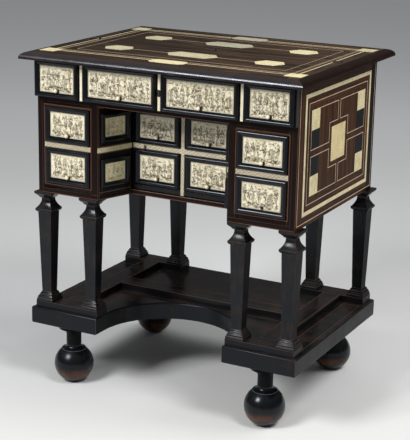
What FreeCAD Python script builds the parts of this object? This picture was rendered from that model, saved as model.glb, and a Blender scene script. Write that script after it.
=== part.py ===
import FreeCAD, Part
import math
import os

V = FreeCAD.Vector

# A small folding-top kneehole desk on eight tapered legs, in ebony and rosewood with ivory plaques.
# X runs across the front, Y from front to back, Z up. The floor is Z = 0. All sizes in millimetres.

# Heights, from the feet up
SLAB_THICK = 43.0
STRETCHER_THICK = 16.0
LEG_HEIGHT = 280.0
CASE_HEIGHT = 328.0
TOP_THICK = 17.0

# Top and case: the top overhangs the case on every side
TOP_WIDTH = 730.0
TOP_DEPTH = 562.0
TOP_SIDE_OVERHANG = 25.0
TOP_FRONT_OVERHANG = 42.0
TOP_BACK_OVERHANG = 57.0
BOARD = 12.0
DECK_THICK = 12.0
WELL_HEIGHT = 90.0
EDGE_WIDTH = 22.0
EDGE_NOSE = 3.0

# Pedestals and kneehole
PEDESTAL_WIDTH = 168.0
STILE_WIDTH = 20.0
STILE_DEPTH = 15.0
BOTTOM_RAIL = 13.0
MIDDLE_RAIL = 11.5
TOP_RAIL = 8.5
RECESS_DEPTH = 98.0
RECESS_TAPER = 34.5
BEARER_THICK = 10.0
RUNNER_WIDTH = 20.0
SEAM_RAIL_HEIGHT = 15.0
SEAM_RAIL_DEPTH = 20.0

# Drawers
DRAWER_GAP = 0.5
DRAWER_FRONT_THICK = 14.0
DRAWER_WALL = 8.0
DRAWER_BOTTOM = 5.0
DRAWER_BACK_CLEAR = 25.5
DRAWER_WALL_DROP = 18.0

# Fall front and door
FLAP_THICK = 12.0
FLAP_GAP = 0.5
FLAP_FOOT_GAP = 0.4
FLAP_HEAD_GAP = 1.0
DOOR_THICK = 14.0
DOOR_SET_BACK = 6.0
DOOR_GAP = 1.0
DOOR_LOCK_GAP = 1.5
DOOR_HEAD = 12.5
DOOR_STOP = 9.0

# Applied ornament: moulded frames, plaques, strips, inlay and knobs
FACE_SET_BACK = 1.5
PLAQUE_THICK = 1.5
FRAME_WIDTH = 14.0
FRAME_MARGIN = 1.0
FLAP_FRAME_WIDTH = 12.5
FLAP_FRAME_MARGIN = 0.5
FLAP_STRIP_PITCH = 209.0
FLAP_STRIP_WIDTH = 6.5
FLAP_FRAME_TO_STRIP = 4.0
FLAP_END_MARGIN = 4.5
DOOR_STRIP_WIDTH = 8.5
DOOR_FRAME_TO_STRIP = 4.0
DOOR_FRAME_TO_EDGE = 5.8
KNEE_FRAME_WIDTH = 13.0
KNEE_FRAME_TO_EDGE = 8.5
KNEE_FRAME_TO_FLOOR = 17.0
KNEE_FRAME_UNDER_STRIP = 15.5
KNEE_FRAME_OVER_STRIP = 12.0
KNEE_FRAME_TO_HEAD = 16.0
STRIP_THICK = 1.0
INLAY_THICK = 0.4
KNOB_RISE = 5.0
KNOB_RADIUS = 3.6
KNOB_STEM_RADIUS = 1.6
KNOB_STEM = 2.6
KNOB_HOLE_RADIUS = 1.5
KEYHOLE_RADIUS = 2.2
KEYHOLE_SLOT = 1.8
KEYHOLE_DROP = 7.0

# Hinges and locks
TOP_PIN_RISE = 1.0
SEAM_GAP = 0.6
KNUCKLE_RADIUS = 3.0
DOOR_KNUCKLE_RADIUS = 2.6
PIN_RADIUS = 1.2
PIN_PLAY = 0.05
KNUCKLE_PLAY = 0.5
KNUCKLE_END_PLAY = 0.3
TOP_KNUCKLE_LENGTH = 24.0
FLAP_KNUCKLE_LENGTH = 54.0
DOOR_KNUCKLE_LENGTH = 36.0
LEAF_THICK = 1.2
TOP_LEAF_DROP = 11.0
FLAP_LEAF_REACH = 18.0
TOP_HINGE_INSET = 40.0
FLAP_HINGE_INSET = 120.0
DOOR_HINGE_INSET = 40.0
DOOR_PIN_LEAD = 1.0
DOOR_PIN_SIDE = 0.5
DOOR_BRIDGE = 2.6
DOOR_LEAF_DEPTH = 4.5
LOCK_THICK = 8.0
LOCK_WIDTH = 44.0
LOCK_HEIGHT = 36.0
DOOR_LOCK_MARGIN = 3.0
DOOR_KEY_INSET = 34.0

# Base: slab, stretcher, legs and feet
SLAB_SIDE_OVERHANG = 20.0
SLAB_FRONT_OVERHANG = 11.0
SLAB_BACK_OVERHANG = 18.0
SLAB_ROUND = 4.0
CUTOUT_STRAIGHT = 41.0
PAD_INSET = 8.5
PAD_DEPTH = 48.0
LEG_FROM_PAD_EDGE = 24.0
INNER_LEG_INSET = 27.0
WEB_WIDTH = 49.0
CROSS_BAR_DEPTH = 53.0
CROSS_BAR_BEHIND_MIDDLE = 11.5
FOOT_FROM_OUTER_LEG = 62.0
FOOT_FROM_FRONT = 46.0
FOOT_FROM_BACK = 40.0
BALL_RADIUS = 49.0
BALL_FLAT = 3.0
BALL_CROWN_CUT = 7.0
FOOT_FLARE_HEIGHT = 9.0
FOOT_NECK_RADIUS = 18.5
FOOT_NECK_HEIGHT = 23.0
FOOT_CUP_RADIUS = 37.0
FOOT_CUP_HEIGHT = 20.0
FOOT_BLOCK_HEIGHT = 9.0

# Levels and places worked out from the sizes above
BALL_MIDDLE = BALL_RADIUS - BALL_FLAT
BALL_TOP = BALL_MIDDLE + BALL_RADIUS - BALL_CROWN_CUT
FOOT_HEIGHT = BALL_TOP + FOOT_FLARE_HEIGHT + FOOT_NECK_HEIGHT + FOOT_CUP_HEIGHT + FOOT_BLOCK_HEIGHT
SLAB_TOP = FOOT_HEIGHT + SLAB_THICK
STRETCHER_TOP = SLAB_TOP + STRETCHER_THICK
CASE_BOTTOM = STRETCHER_TOP + LEG_HEIGHT
CASE_TOP = CASE_BOTTOM + CASE_HEIGHT
TOP_SURFACE = CASE_TOP + TOP_THICK
DECK_TOP = CASE_TOP - WELL_HEIGHT
DECK_UNDER = DECK_TOP - DECK_THICK
FLOOR_TOP = CASE_BOTTOM + BOARD
SEAM_Y = 0.0
HALF_TOP = TOP_WIDTH / 2
TOP_FRONT = SEAM_Y - TOP_DEPTH / 2
TOP_BACK = SEAM_Y + TOP_DEPTH / 2
HALF_CASE = HALF_TOP - TOP_SIDE_OVERHANG
CASE_FRONT = TOP_FRONT + TOP_FRONT_OVERHANG
CASE_BACK = TOP_BACK - TOP_BACK_OVERHANG
INSIDE = HALF_CASE - BOARD
BACK_INSIDE = CASE_BACK - BOARD
KNEE_HALF = HALF_CASE - PEDESTAL_WIDTH
RECESS_HALF_WIDTH = KNEE_HALF - RECESS_TAPER
RECESS_Y = CASE_FRONT + RECESS_DEPTH
OPENING_OUT = HALF_CASE - STILE_WIDTH
OPENING_IN = KNEE_HALF + STILE_WIDTH
OPENING_LOW = FLOOR_TOP + BOTTOM_RAIL
OPENING_HIGH = DECK_UNDER - TOP_RAIL
STRIP_MIDDLE = (OPENING_LOW + OPENING_HIGH) / 2
MIDDLE_RAIL_LOW = STRIP_MIDDLE - MIDDLE_RAIL / 2
MIDDLE_RAIL_HIGH = STRIP_MIDDLE + MIDDLE_RAIL / 2
STILE_BACK = CASE_FRONT + STILE_DEPTH
FLAP_BACK_Y = CASE_FRONT - FLAP_GAP
FLAP_FACE_Y = FLAP_BACK_Y - FLAP_THICK
FLAP_LOW = DECK_TOP + FLAP_FOOT_GAP
FLAP_HIGH = CASE_TOP - FLAP_HEAD_GAP
DRAWER_FACE_Y = CASE_FRONT + FACE_SET_BACK
DOOR_FACE_Y = RECESS_Y + DOOR_SET_BACK
DOOR_LOW = FLOOR_TOP + DOOR_GAP
DOOR_HIGH = DECK_UNDER - DOOR_HEAD
DOOR_LEFT = -RECESS_HALF_WIDTH + DOOR_LOCK_GAP
DOOR_RIGHT = RECESS_HALF_WIDTH - DOOR_GAP
HALF_SLAB = HALF_CASE + SLAB_SIDE_OVERHANG
SLAB_FRONT = CASE_FRONT - SLAB_FRONT_OVERHANG
SLAB_BACK = CASE_BACK + SLAB_BACK_OVERHANG
PAD_OUTER = HALF_SLAB - PAD_INSET
PAD_FRONT = SLAB_FRONT + PAD_INSET
PAD_BACK = SLAB_BACK - PAD_INSET
LEG_OUTER = PAD_OUTER - LEG_FROM_PAD_EDGE
LEG_INNER = KNEE_HALF + INNER_LEG_INSET
PAD_INNER = LEG_INNER - LEG_FROM_PAD_EDGE
FOOT_X = LEG_OUTER - FOOT_FROM_OUTER_LEG
CROSS_BAR_MIDDLE = (SLAB_FRONT + SLAB_BACK) / 2 + CROSS_BAR_BEHIND_MIDDLE

# Section of the moulded frames: distance in from the outer edge, height above the face
FRAME_SECTION = [(0, 4.5), (0.1, 6.5), (0.36, 7.5), (0.57, 6.5), (0.71, 4.5), (0.93, 3.8), (1, 2.4)]
FRAME_HEIGHT = max(height for part, height in FRAME_SECTION)
DOOR_PIN_X = DOOR_RIGHT + DOOR_PIN_SIDE
DOOR_PIN_Y = DOOR_FACE_Y - FRAME_HEIGHT - DOOR_PIN_LEAD

# Section of a leg: height above the stretcher, or depth below the case, and width of the square
LEG_FOOT_SECTION = [
    (0, 46), (5, 46), (6.5, 42.5), (10.5, 42), (14.5, 35), (17, 34.5), (21, 28), (22, 26.5),
]
LEG_HEAD_SECTION = [
    (52.5, 37), (51.5, 42), (48.5, 46.5), (44, 47.5), (41.5, 42), (35, 33), (29.5, 27.5),
    (24.5, 24.5), (18, 23.5), (16, 31), (12.5, 35), (8.5, 43), (5.5, 49.5), (0, 50.5),
]


def box(x0, x1, y0, y1, z0, z1):
    low = V(min(x0, x1), min(y0, y1), min(z0, z1))
    return Part.makeBox(abs(x1 - x0), abs(y1 - y0), abs(z1 - z0), low)


def prism(points, z0, z1):
    corners = [V(x, y, z0) for x, y in points]
    return Part.Face(Part.makePolygon(corners + corners[:1])).extrude(V(0, 0, z1 - z0))


def tube(start, direction, length, outer, inner):
    return Part.makeCylinder(outer, length, start, direction).cut(
        Part.makeCylinder(inner, length, start, direction)
    )


def on_face(shape, origin, across, up):
    # Local X goes across a face, local Y up it and local Z out of it.
    out = across.cross(up)
    face = FreeCAD.Placement(
        FreeCAD.Matrix(
            across.x, up.x, out.x, origin.x,
            across.y, up.y, out.y, origin.y,
            across.z, up.z, out.z, origin.z,
            0, 0, 0, 1,
        )
    )
    shape.Placement = face * shape.Placement
    return shape


def on_front(shapes, face_y):
    return [on_face(s, V(0, face_y, 0), V(1, 0, 0), V(0, 0, 1)) for s in shapes]


def mitred_strip(length, width, section):
    # A straight moulding along X, outer edge on Y = 0, with its ends cut at 45 degrees.
    corners = [V(0, 0, 0)] + [V(0, part * width, height) for part, height in section] + [V(0, width, 0)]
    bar = Part.Face(Part.makePolygon(corners + corners[:1])).extrude(V(length, 0, 0))
    tallest = max(height for part, height in section)
    plan = [(0, 0), (length, 0), (length - width, width), (width, width)]
    return bar.common(prism(plan, 0, tallest))


def frame(x0, x1, y0, y1, width, section=FRAME_SECTION):
    # Four mitred strips round a rectangle.
    turns = [
        (V(x0, y0, 0), V(1, 0, 0), V(0, 1, 0), x1 - x0),
        (V(x1, y0, 0), V(0, 1, 0), V(-1, 0, 0), y1 - y0),
        (V(x1, y1, 0), V(-1, 0, 0), V(0, -1, 0), x1 - x0),
        (V(x0, y1, 0), V(0, -1, 0), V(1, 0, 0), y1 - y0),
    ]
    strips = []
    for corner, along, inward, length in turns:
        strips.append(on_face(mitred_strip(length, width, section), corner, along, inward))
    return strips


def line_frame(half_x, half_y, width, thick, x=0, y=0):
    # A thin rectangle of four inlaid lines, its outer size given.
    inner_y = half_y - width
    return [
        box(x - half_x, x + half_x, y - half_y, y - inner_y, 0, thick),
        box(x - half_x, x + half_x, y + inner_y, y + half_y, 0, thick),
        box(x - half_x, x - half_x + width, y - inner_y, y + inner_y, 0, thick),
        box(x + half_x - width, x + half_x, y - inner_y, y + inner_y, 0, thick),
    ]


def plate(x, y, width, height, thick=INLAY_THICK):
    return box(x - width / 2, x + width / 2, y - height / 2, y + height / 2, 0, thick)


def cut_corner_plate(x, y, width, height, cut_x, cut_y):
    # An octagon, or a hexagon where the cut takes the whole height.
    w, h = width / 2, height / 2
    points = [(-w + cut_x, -h), (w - cut_x, -h), (w, -h + cut_y), (w, h - cut_y)]
    points += [(w - cut_x, h), (-w + cut_x, h), (-w, h - cut_y), (-w, -h + cut_y)]
    if cut_y >= h:
        points = [(-w + cut_x, -h), (w - cut_x, -h), (w, 0), (w - cut_x, h), (-w + cut_x, h), (-w, 0)]
    return prism([(x + a, y + b) for a, b in points], 0, INLAY_THICK)


def keyhole(x, y, deep):
    # A round hole with a slot below it, cut from above the face down to the given depth.
    start = V(x, y, -deep)
    reach = deep + STRIP_THICK + PLAQUE_THICK
    slot = box(x - KEYHOLE_SLOT / 2, x + KEYHOLE_SLOT / 2, y - KEYHOLE_DROP, y, -deep, reach - deep)
    return Part.makeCylinder(KEYHOLE_RADIUS, reach, start).fuse(slot)


def knob(x, y):
    # A turned knob standing on a plaque: a foot, a short stem and a ball.
    foot = V(x, y, PLAQUE_THICK)
    stem = Part.makeCylinder(KNOB_STEM_RADIUS, KNOB_STEM + KNOB_RADIUS, foot)
    ball = Part.makeSphere(KNOB_RADIUS, foot + V(0, 0, KNOB_STEM + KNOB_RADIUS))
    return stem.fuse(ball).removeSplitter()


def inside_of(rectangle, width):
    x0, x1, y0, y1 = rectangle
    return x0 + width, x1 - width, y0 + width, y1 - width


def plaque(rectangle, width):
    x0, x1, y0, y1 = inside_of(rectangle, width)
    return box(x0, x1, y0, y1, 0, PLAQUE_THICK)


def knob_place(rectangle, width):
    x0, x1, y0, y1 = inside_of(rectangle, width)
    return (x0 + x1) / 2, y0 + KNOB_RISE


def save(name, solids):
    shape = solids[0] if len(solids) == 1 else Part.makeCompound(solids)
    shape.exportStep(os.path.join("parts", name + ".step"))


def cut_all(shape, tools):
    for tool in tools:
        shape = shape.cut(tool)
    return shape


# Knuckles of one hinge run along X or Z about its pin; the middle one moves, the outer two stay.
def knuckles(middle, along, length, radius):
    third = length / 3
    moving_start = middle - along * (third / 2 - KNUCKLE_END_PLAY)
    moving = tube(moving_start, along, third - 2 * KNUCKLE_END_PLAY, radius, PIN_RADIUS + PIN_PLAY)
    fixed = [
        tube(middle - along * (length / 2), along, third, radius, PIN_RADIUS),
        tube(middle + along * (third / 2), along, third, radius, PIN_RADIUS),
    ]
    pin = Part.makeCylinder(PIN_RADIUS, length, middle - along * (length / 2), along)
    groove = Part.makeCylinder(
        radius + KNUCKLE_PLAY,
        length + 2 * KNUCKLE_PLAY,
        middle - along * (length / 2 + KNUCKLE_PLAY),
        along,
    )
    bore = Part.makeCylinder(PIN_RADIUS + PIN_PLAY, length, middle - along * (length / 2), along)
    return moving, fixed, pin, groove, bore


def top_hinge(x):
    # A butt hinge in the seam of the top: only the knuckle shows above the surface.
    middle = V(x, SEAM_Y, TOP_SURFACE + TOP_PIN_RISE)
    moving, fixed, pin, groove, bore = knuckles(middle, V(1, 0, 0), TOP_KNUCKLE_LENGTH, KNUCKLE_RADIUS)
    third = TOP_KNUCKLE_LENGTH / 3
    low = TOP_SURFACE - TOP_LEAF_DROP
    near = SEAM_GAP / 2
    far = near + LEAF_THICK
    half = third / 2 - KNUCKLE_END_PLAY
    front_leaf = box(x - half, x + half, SEAM_Y - far, SEAM_Y - near, low, middle.z)
    moving = moving.fuse(front_leaf).cut(bore).removeSplitter()
    end = TOP_KNUCKLE_LENGTH / 2
    rear = []
    for side, barrel in zip((-1, 1), fixed):
        leaf = box(x + side * third / 2, x + side * end, SEAM_Y + near, SEAM_Y + far, low, middle.z)
        rear.append(barrel.fuse(leaf).cut(pin).removeSplitter())
    return moving, rear + [pin], groove, front_leaf, rear


def flap_hinge(x):
    # A butt hinge let into the deck and the back of the fall front.
    middle = V(x, FLAP_BACK_Y, DECK_TOP)
    moving, fixed, pin, groove, bore = knuckles(middle, V(1, 0, 0), FLAP_KNUCKLE_LENGTH, KNUCKLE_RADIUS)
    third = FLAP_KNUCKLE_LENGTH / 3
    half = third / 2 - KNUCKLE_END_PLAY
    leaf_top = DECK_TOP + FLAP_LEAF_REACH
    leaf = box(x - half, x + half, FLAP_BACK_Y - LEAF_THICK, FLAP_BACK_Y, DECK_TOP, leaf_top)
    moving = moving.fuse(leaf).cut(bore).removeSplitter()
    end = FLAP_KNUCKLE_LENGTH / 2
    back = FLAP_BACK_Y + FLAP_LEAF_REACH
    stay = []
    for side, barrel in zip((-1, 1), fixed):
        ends = x + side * third / 2, x + side * end
        plate_part = box(*ends, FLAP_BACK_Y, back, DECK_TOP - LEAF_THICK, DECK_TOP)
        stay.append(barrel.fuse(plate_part).cut(pin).removeSplitter())
    return moving, stay + [pin], groove, leaf, stay


def door_hinge(z):
    # A hinge whose pin stands in front of the door's frames, so that they swing clear of the wall.
    middle = V(DOOR_PIN_X, DOOR_PIN_Y, z)
    moving, fixed, pin, groove, bore = knuckles(middle, V(0, 0, 1), DOOR_KNUCKLE_LENGTH, DOOR_KNUCKLE_RADIUS)
    third = DOOR_KNUCKLE_LENGTH / 3
    half = third / 2 - KNUCKLE_END_PLAY
    bridge = box(DOOR_RIGHT - DOOR_BRIDGE, DOOR_RIGHT, DOOR_PIN_Y, DOOR_FACE_Y, z - half, z + half)
    leaf_left = DOOR_RIGHT - DOOR_LEAF_DEPTH
    leaf = box(leaf_left, DOOR_RIGHT, DOOR_FACE_Y - LEAF_THICK, DOOR_FACE_Y, z - half, z + half)
    moving = moving.fuse(bridge).fuse(leaf).cut(bore).removeSplitter()
    stay = []
    for side, barrel in zip((-1, 1), fixed):
        ends = z + side * third / 2, z + side * DOOR_KNUCKLE_LENGTH / 2
        tongue = box(DOOR_PIN_X, DOOR_PIN_X + DOOR_LEAF_DEPTH, DOOR_PIN_Y, DOOR_FACE_Y, *ends)
        stay.append(barrel.fuse(tongue).cut(pin).removeSplitter())
    return moving, stay + [pin], groove, stay


TOP_HINGE_X = HALF_TOP - TOP_HINGE_INSET
FLAP_HINGE_X = HALF_CASE - FLAP_HINGE_INSET
TOP_HINGES = [top_hinge(x) for x in (-TOP_HINGE_X, 0, TOP_HINGE_X)]
FLAP_HINGES = [flap_hinge(x) for x in (-FLAP_HINGE_X, FLAP_HINGE_X)]
DOOR_HINGES = [door_hinge(z) for z in (DOOR_LOW + DOOR_HINGE_INSET, DOOR_HIGH - DOOR_HINGE_INSET)]


def base_slab():
    # The slab's front is cut away below the kneehole, in a half circle that ends in short straights.
    turn = SLAB_FRONT + CUTOUT_STRAIGHT
    left, right = -KNEE_HALF, KNEE_HALF
    arc = Part.Arc(V(left, turn, 0), V(0, turn + KNEE_HALF, 0), V(right, turn, 0))
    points = [(right, turn), (right, SLAB_FRONT), (HALF_SLAB, SLAB_FRONT), (HALF_SLAB, SLAB_BACK)]
    points += [(-HALF_SLAB, SLAB_BACK), (-HALF_SLAB, SLAB_FRONT), (left, SLAB_FRONT), (left, turn)]
    edges = [Part.LineSegment(V(*a, 0), V(*b, 0)).toShape() for a, b in zip(points, points[1:])]
    outline = Part.Wire([arc.toShape()] + edges)
    slab = Part.Face(outline).extrude(V(0, 0, SLAB_THICK))
    slab.translate(V(0, 0, FOOT_HEIGHT))
    flat = [e for e in slab.Edges if abs(e.BoundBox.ZLength) < 0.001]
    return slab.makeFillet(SLAB_ROUND, flat)


def stretcher():
    # Four pads under the pairs of legs, a web along each side and a bar across.
    solids = []
    web_inner, web_outer = FOOT_X - WEB_WIDTH / 2, FOOT_X + WEB_WIDTH / 2
    for side in (-1, 1):
        inner, outer = side * PAD_INNER, side * PAD_OUTER
        solids.append(box(inner, outer, PAD_FRONT, PAD_FRONT + PAD_DEPTH, SLAB_TOP, STRETCHER_TOP))
        solids.append(box(inner, outer, PAD_BACK - PAD_DEPTH, PAD_BACK, SLAB_TOP, STRETCHER_TOP))
        web = side * web_inner, side * web_outer
        solids.append(box(*web, PAD_FRONT + PAD_DEPTH, PAD_BACK - PAD_DEPTH, SLAB_TOP, STRETCHER_TOP))
    bar = CROSS_BAR_MIDDLE - CROSS_BAR_DEPTH / 2, CROSS_BAR_MIDDLE + CROSS_BAR_DEPTH / 2
    solids.append(box(-web_inner, web_inner, *bar, SLAB_TOP, STRETCHER_TOP))
    return solids


def leg(x, y):
    # A square tapered leg with a moulded foot, a collar, a waisted neck and a cap.
    levels = [(STRETCHER_TOP + rise, width) for rise, width in LEG_FOOT_SECTION]
    levels += [(CASE_BOTTOM - drop, width) for drop, width in LEG_HEAD_SECTION]
    squares = []
    for z, width in levels:
        h = width / 2
        corners = [V(x - h, y - h, z), V(x + h, y - h, z), V(x + h, y + h, z), V(x - h, y + h, z)]
        squares.append(Part.makePolygon(corners + corners[:1]))
    return Part.makeLoft(squares, True, True)


def ball_foot(x, y):
    # A turned foot: a ball flattened where it stands, a hollow flare, a neck and a cup under the slab.
    flat_radius = math.sqrt(BALL_RADIUS**2 - BALL_MIDDLE**2)
    crown_radius = math.sqrt(BALL_RADIUS**2 - (BALL_TOP - BALL_MIDDLE) ** 2)
    flare_top = BALL_TOP + FOOT_FLARE_HEIGHT
    neck_top = flare_top + FOOT_NECK_HEIGHT
    cup_edge = neck_top + FOOT_CUP_HEIGHT
    diagonal = math.sqrt(0.5)
    flat = V(flat_radius, 0, 0)
    crown = V(crown_radius, 0, BALL_TOP)
    hollow = crown_radius - (crown_radius - FOOT_NECK_RADIUS) * diagonal
    flare_middle = V(hollow, 0, flare_top - FOOT_FLARE_HEIGHT * diagonal)
    neck_low, neck_high = V(FOOT_NECK_RADIUS, 0, flare_top), V(FOOT_NECK_RADIUS, 0, neck_top)
    spread = FOOT_NECK_RADIUS + (FOOT_CUP_RADIUS - FOOT_NECK_RADIUS) * (1 - diagonal)
    cup_middle = V(spread, 0, neck_top + FOOT_CUP_HEIGHT * diagonal)
    cup_low, cup_high = V(FOOT_CUP_RADIUS, 0, cup_edge), V(FOOT_CUP_RADIUS, 0, FOOT_HEIGHT)
    centre_low, centre_high = V(0, 0, 0), V(0, 0, FOOT_HEIGHT)
    edges = [
        Part.LineSegment(centre_low, flat),
        Part.Arc(flat, V(BALL_RADIUS, 0, BALL_MIDDLE), crown),
        Part.Arc(crown, flare_middle, neck_low),
        Part.LineSegment(neck_low, neck_high),
        Part.Arc(neck_high, cup_middle, cup_low),
        Part.LineSegment(cup_low, cup_high),
        Part.LineSegment(cup_high, centre_high),
        Part.LineSegment(centre_high, centre_low),
    ]
    outline = Part.Wire([e.toShape() for e in edges])
    foot = Part.Face(outline).revolve(V(0, 0, 0), V(0, 0, 1), 360)
    foot.translate(V(x, y, 0))
    return foot


def pedestal_floor(side):
    points = [(INSIDE, CASE_FRONT), (KNEE_HALF, CASE_FRONT), (RECESS_HALF_WIDTH, RECESS_Y)]
    points += [(RECESS_HALF_WIDTH, BACK_INSIDE), (INSIDE, BACK_INSIDE)]
    return prism([(side * x, y) for x, y in points], CASE_BOTTOM, FLOOR_TOP)


# How far the slanted kneehole wall moves inwards for each millimetre of depth
SLANT = RECESS_TAPER / RECESS_DEPTH
STILE_BACK_X = KNEE_HALF - SLANT * STILE_DEPTH


def inner_stile(side):
    points = [(OPENING_IN, CASE_FRONT), (OPENING_IN, STILE_BACK)]
    points += [(STILE_BACK_X, STILE_BACK), (KNEE_HALF, CASE_FRONT)]
    return prism([(side * x, y) for x, y in points], FLOOR_TOP, DECK_UNDER)


def slanted_wall(side):
    points = [(STILE_BACK_X, STILE_BACK), (RECESS_HALF_WIDTH, RECESS_Y)]
    points += [(RECESS_HALF_WIDTH + BOARD, RECESS_Y), (STILE_BACK_X + BOARD, STILE_BACK)]
    return prism([(side * x, y) for x, y in points], FLOOR_TOP, DECK_UNDER)


def partition(side):
    inner, outer = side * RECESS_HALF_WIDTH, side * (RECESS_HALF_WIDTH + BOARD)
    return box(inner, outer, RECESS_Y, BACK_INSIDE, FLOOR_TOP, DECK_UNDER)


def kneehole_walls():
    walls = []
    for side in (-1, 1):
        walls += [slanted_wall(side), partition(side)]
    cutters = []
    for moving, stay, groove, fixed in DOOR_HINGES:
        cutters += [groove] + fixed
    return [cut_all(w, cutters) for w in walls]


def front_rails():
    rails = []
    for side in (-1, 1):
        span = side * OPENING_IN, side * OPENING_OUT, CASE_FRONT, STILE_BACK
        rails.append(box(*span, FLOOR_TOP, OPENING_LOW))
        rails.append(box(*span, MIDDLE_RAIL_LOW, MIDDLE_RAIL_HIGH))
        rails.append(box(*span, OPENING_HIGH, DECK_UNDER))
        rails.append(box(side * OPENING_OUT, side * INSIDE, CASE_FRONT, STILE_BACK, FLOOR_TOP, DECK_UNDER))
        rails.append(inner_stile(side))
    head_low = DOOR_HIGH + DOOR_GAP
    door_back = DOOR_FACE_Y + DOOR_THICK
    rails.append(box(-RECESS_HALF_WIDTH, RECESS_HALF_WIDTH, RECESS_Y, door_back, head_low, DECK_UNDER))
    stop_right = -RECESS_HALF_WIDTH + DOOR_STOP
    stop_front = door_back + FLAP_GAP
    stop = box(-RECESS_HALF_WIDTH, stop_right, stop_front, stop_front + DOOR_STOP, FLOOR_TOP, DECK_UNDER)
    rails.append(stop)
    seam_back = SEAM_Y + SEAM_RAIL_DEPTH
    rails.append(box(-INSIDE, INSIDE, SEAM_Y + SEAM_GAP, seam_back, CASE_TOP - SEAM_RAIL_HEIGHT, CASE_TOP))
    return rails


def drawer_bearers():
    solids = []
    for side in (-1, 1):
        for near in (OPENING_IN + DRAWER_GAP, OPENING_OUT - RUNNER_WIDTH - DRAWER_GAP):
            span = side * near, side * (near + RUNNER_WIDTH)
            solids.append(box(*span, STILE_BACK, BACK_INSIDE, FLOOR_TOP, OPENING_LOW))
        inner = STILE_BACK_X + BOARD
        low = MIDDLE_RAIL_HIGH - BEARER_THICK
        solids.append(box(side * inner, side * INSIDE, STILE_BACK, BACK_INSIDE, low, MIDDLE_RAIL_HIGH))
    return solids


def writing_deck():
    deck = box(-INSIDE, INSIDE, CASE_FRONT, BACK_INSIDE, DECK_UNDER, DECK_TOP)
    cutters = []
    for moving, stay, groove, leaf, fixed in FLAP_HINGES:
        cutters += [groove] + fixed
    return cut_all(deck, cutters)


# The edge of the top is a thumbnail moulding: a quarter ellipse that falls to a low square nose.
def edge_strip(start, along, inward, length, mitre_start, mitre_end):
    nose, crest = V(0, 0, EDGE_NOSE), V(0, EDGE_WIDTH, TOP_THICK)
    curve = Part.ArcOfEllipse(Part.Ellipse(nose, crest, V(0, EDGE_WIDTH, EDGE_NOSE)), 0, math.pi / 2)
    under = Part.makePolygon([crest, V(0, EDGE_WIDTH, 0), V(0, 0, 0), nose])
    section = Part.Face(Part.Wire([curve.toShape(), under]))
    bar = section.extrude(V(length, 0, 0))
    first = EDGE_WIDTH if mitre_start else 0
    last = EDGE_WIDTH if mitre_end else 0
    plan = [(0, 0), (length, 0), (length - last, EDGE_WIDTH), (first, EDGE_WIDTH)]
    return on_face(bar.common(prism(plan, 0, TOP_THICK)), start, along, inward)


def top_half(y_edge, toward_seam):
    # The board of one half and its three edge strips; toward_seam is +1 for the front half.
    seam = SEAM_Y - toward_seam * SEAM_GAP / 2
    depth = abs(seam - y_edge)
    core_edge = y_edge + toward_seam * EDGE_WIDTH
    board = box(-HALF_TOP + EDGE_WIDTH, HALF_TOP - EDGE_WIDTH, core_edge, seam, CASE_TOP, TOP_SURFACE)
    x, y, in_x = V(1, 0, 0), V(0, toward_seam, 0), V(1, 0, 0)
    if toward_seam > 0:
        long_edge = edge_strip(V(-HALF_TOP, y_edge, CASE_TOP), x, y, TOP_WIDTH, True, True)
        left = edge_strip(V(-HALF_TOP, seam, CASE_TOP), V(0, -1, 0), in_x, depth, False, True)
        right = edge_strip(V(HALF_TOP, y_edge, CASE_TOP), V(0, 1, 0), -in_x, depth, True, False)
    else:
        long_edge = edge_strip(V(HALF_TOP, y_edge, CASE_TOP), -x, y, TOP_WIDTH, True, True)
        left = edge_strip(V(-HALF_TOP, y_edge, CASE_TOP), V(0, -1, 0), in_x, depth, True, False)
        right = edge_strip(V(HALF_TOP, seam, CASE_TOP), V(0, 1, 0), -in_x, depth, False, True)
    return board, [long_edge, left, right]


# Inlay of the top, measured from the middle of the seam towards one long edge
BORDER_SIDE_INSET = 47.0
BORDER_LONG_INSET = 69.0
BORDER_LINE = 3.0
FINE_LINE = 1.5
FINE_LINE_INSETS = (13.0, 17.0, 44.0)
CORNER_PLAQUE = 41.0
LONG_EDGE_PLAQUE = (92.0, 42.0, 10.0, 10.0)
ROW_INSET = 116.0
ROW_END_INSET = 118.0
ROW_END_PLAQUE = (76.0, 58.0, 16.0)
ROW_MIDDLE_PLAQUE = (134.0, 60.0, 20.0)
BORDER_HALF = HALF_TOP - BORDER_SIDE_INSET
BORDER_REACH = TOP_DEPTH / 2 - BORDER_LONG_INSET
ROW_REACH = BORDER_REACH - ROW_INSET
ROW_PITCH = BORDER_HALF - ROW_END_INSET


def half_rectangle(half, reach, width, direction, keep_clear):
    # Three sides of an inlaid rectangle that stops at the seam, broken round its plaques.
    lines = []
    for side in (-1, 1):
        ends = direction * SEAM_GAP, direction * (reach - keep_clear)
        lines.append(box(side * half, side * (half - width), *ends, 0, INLAY_THICK))
    return lines


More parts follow.
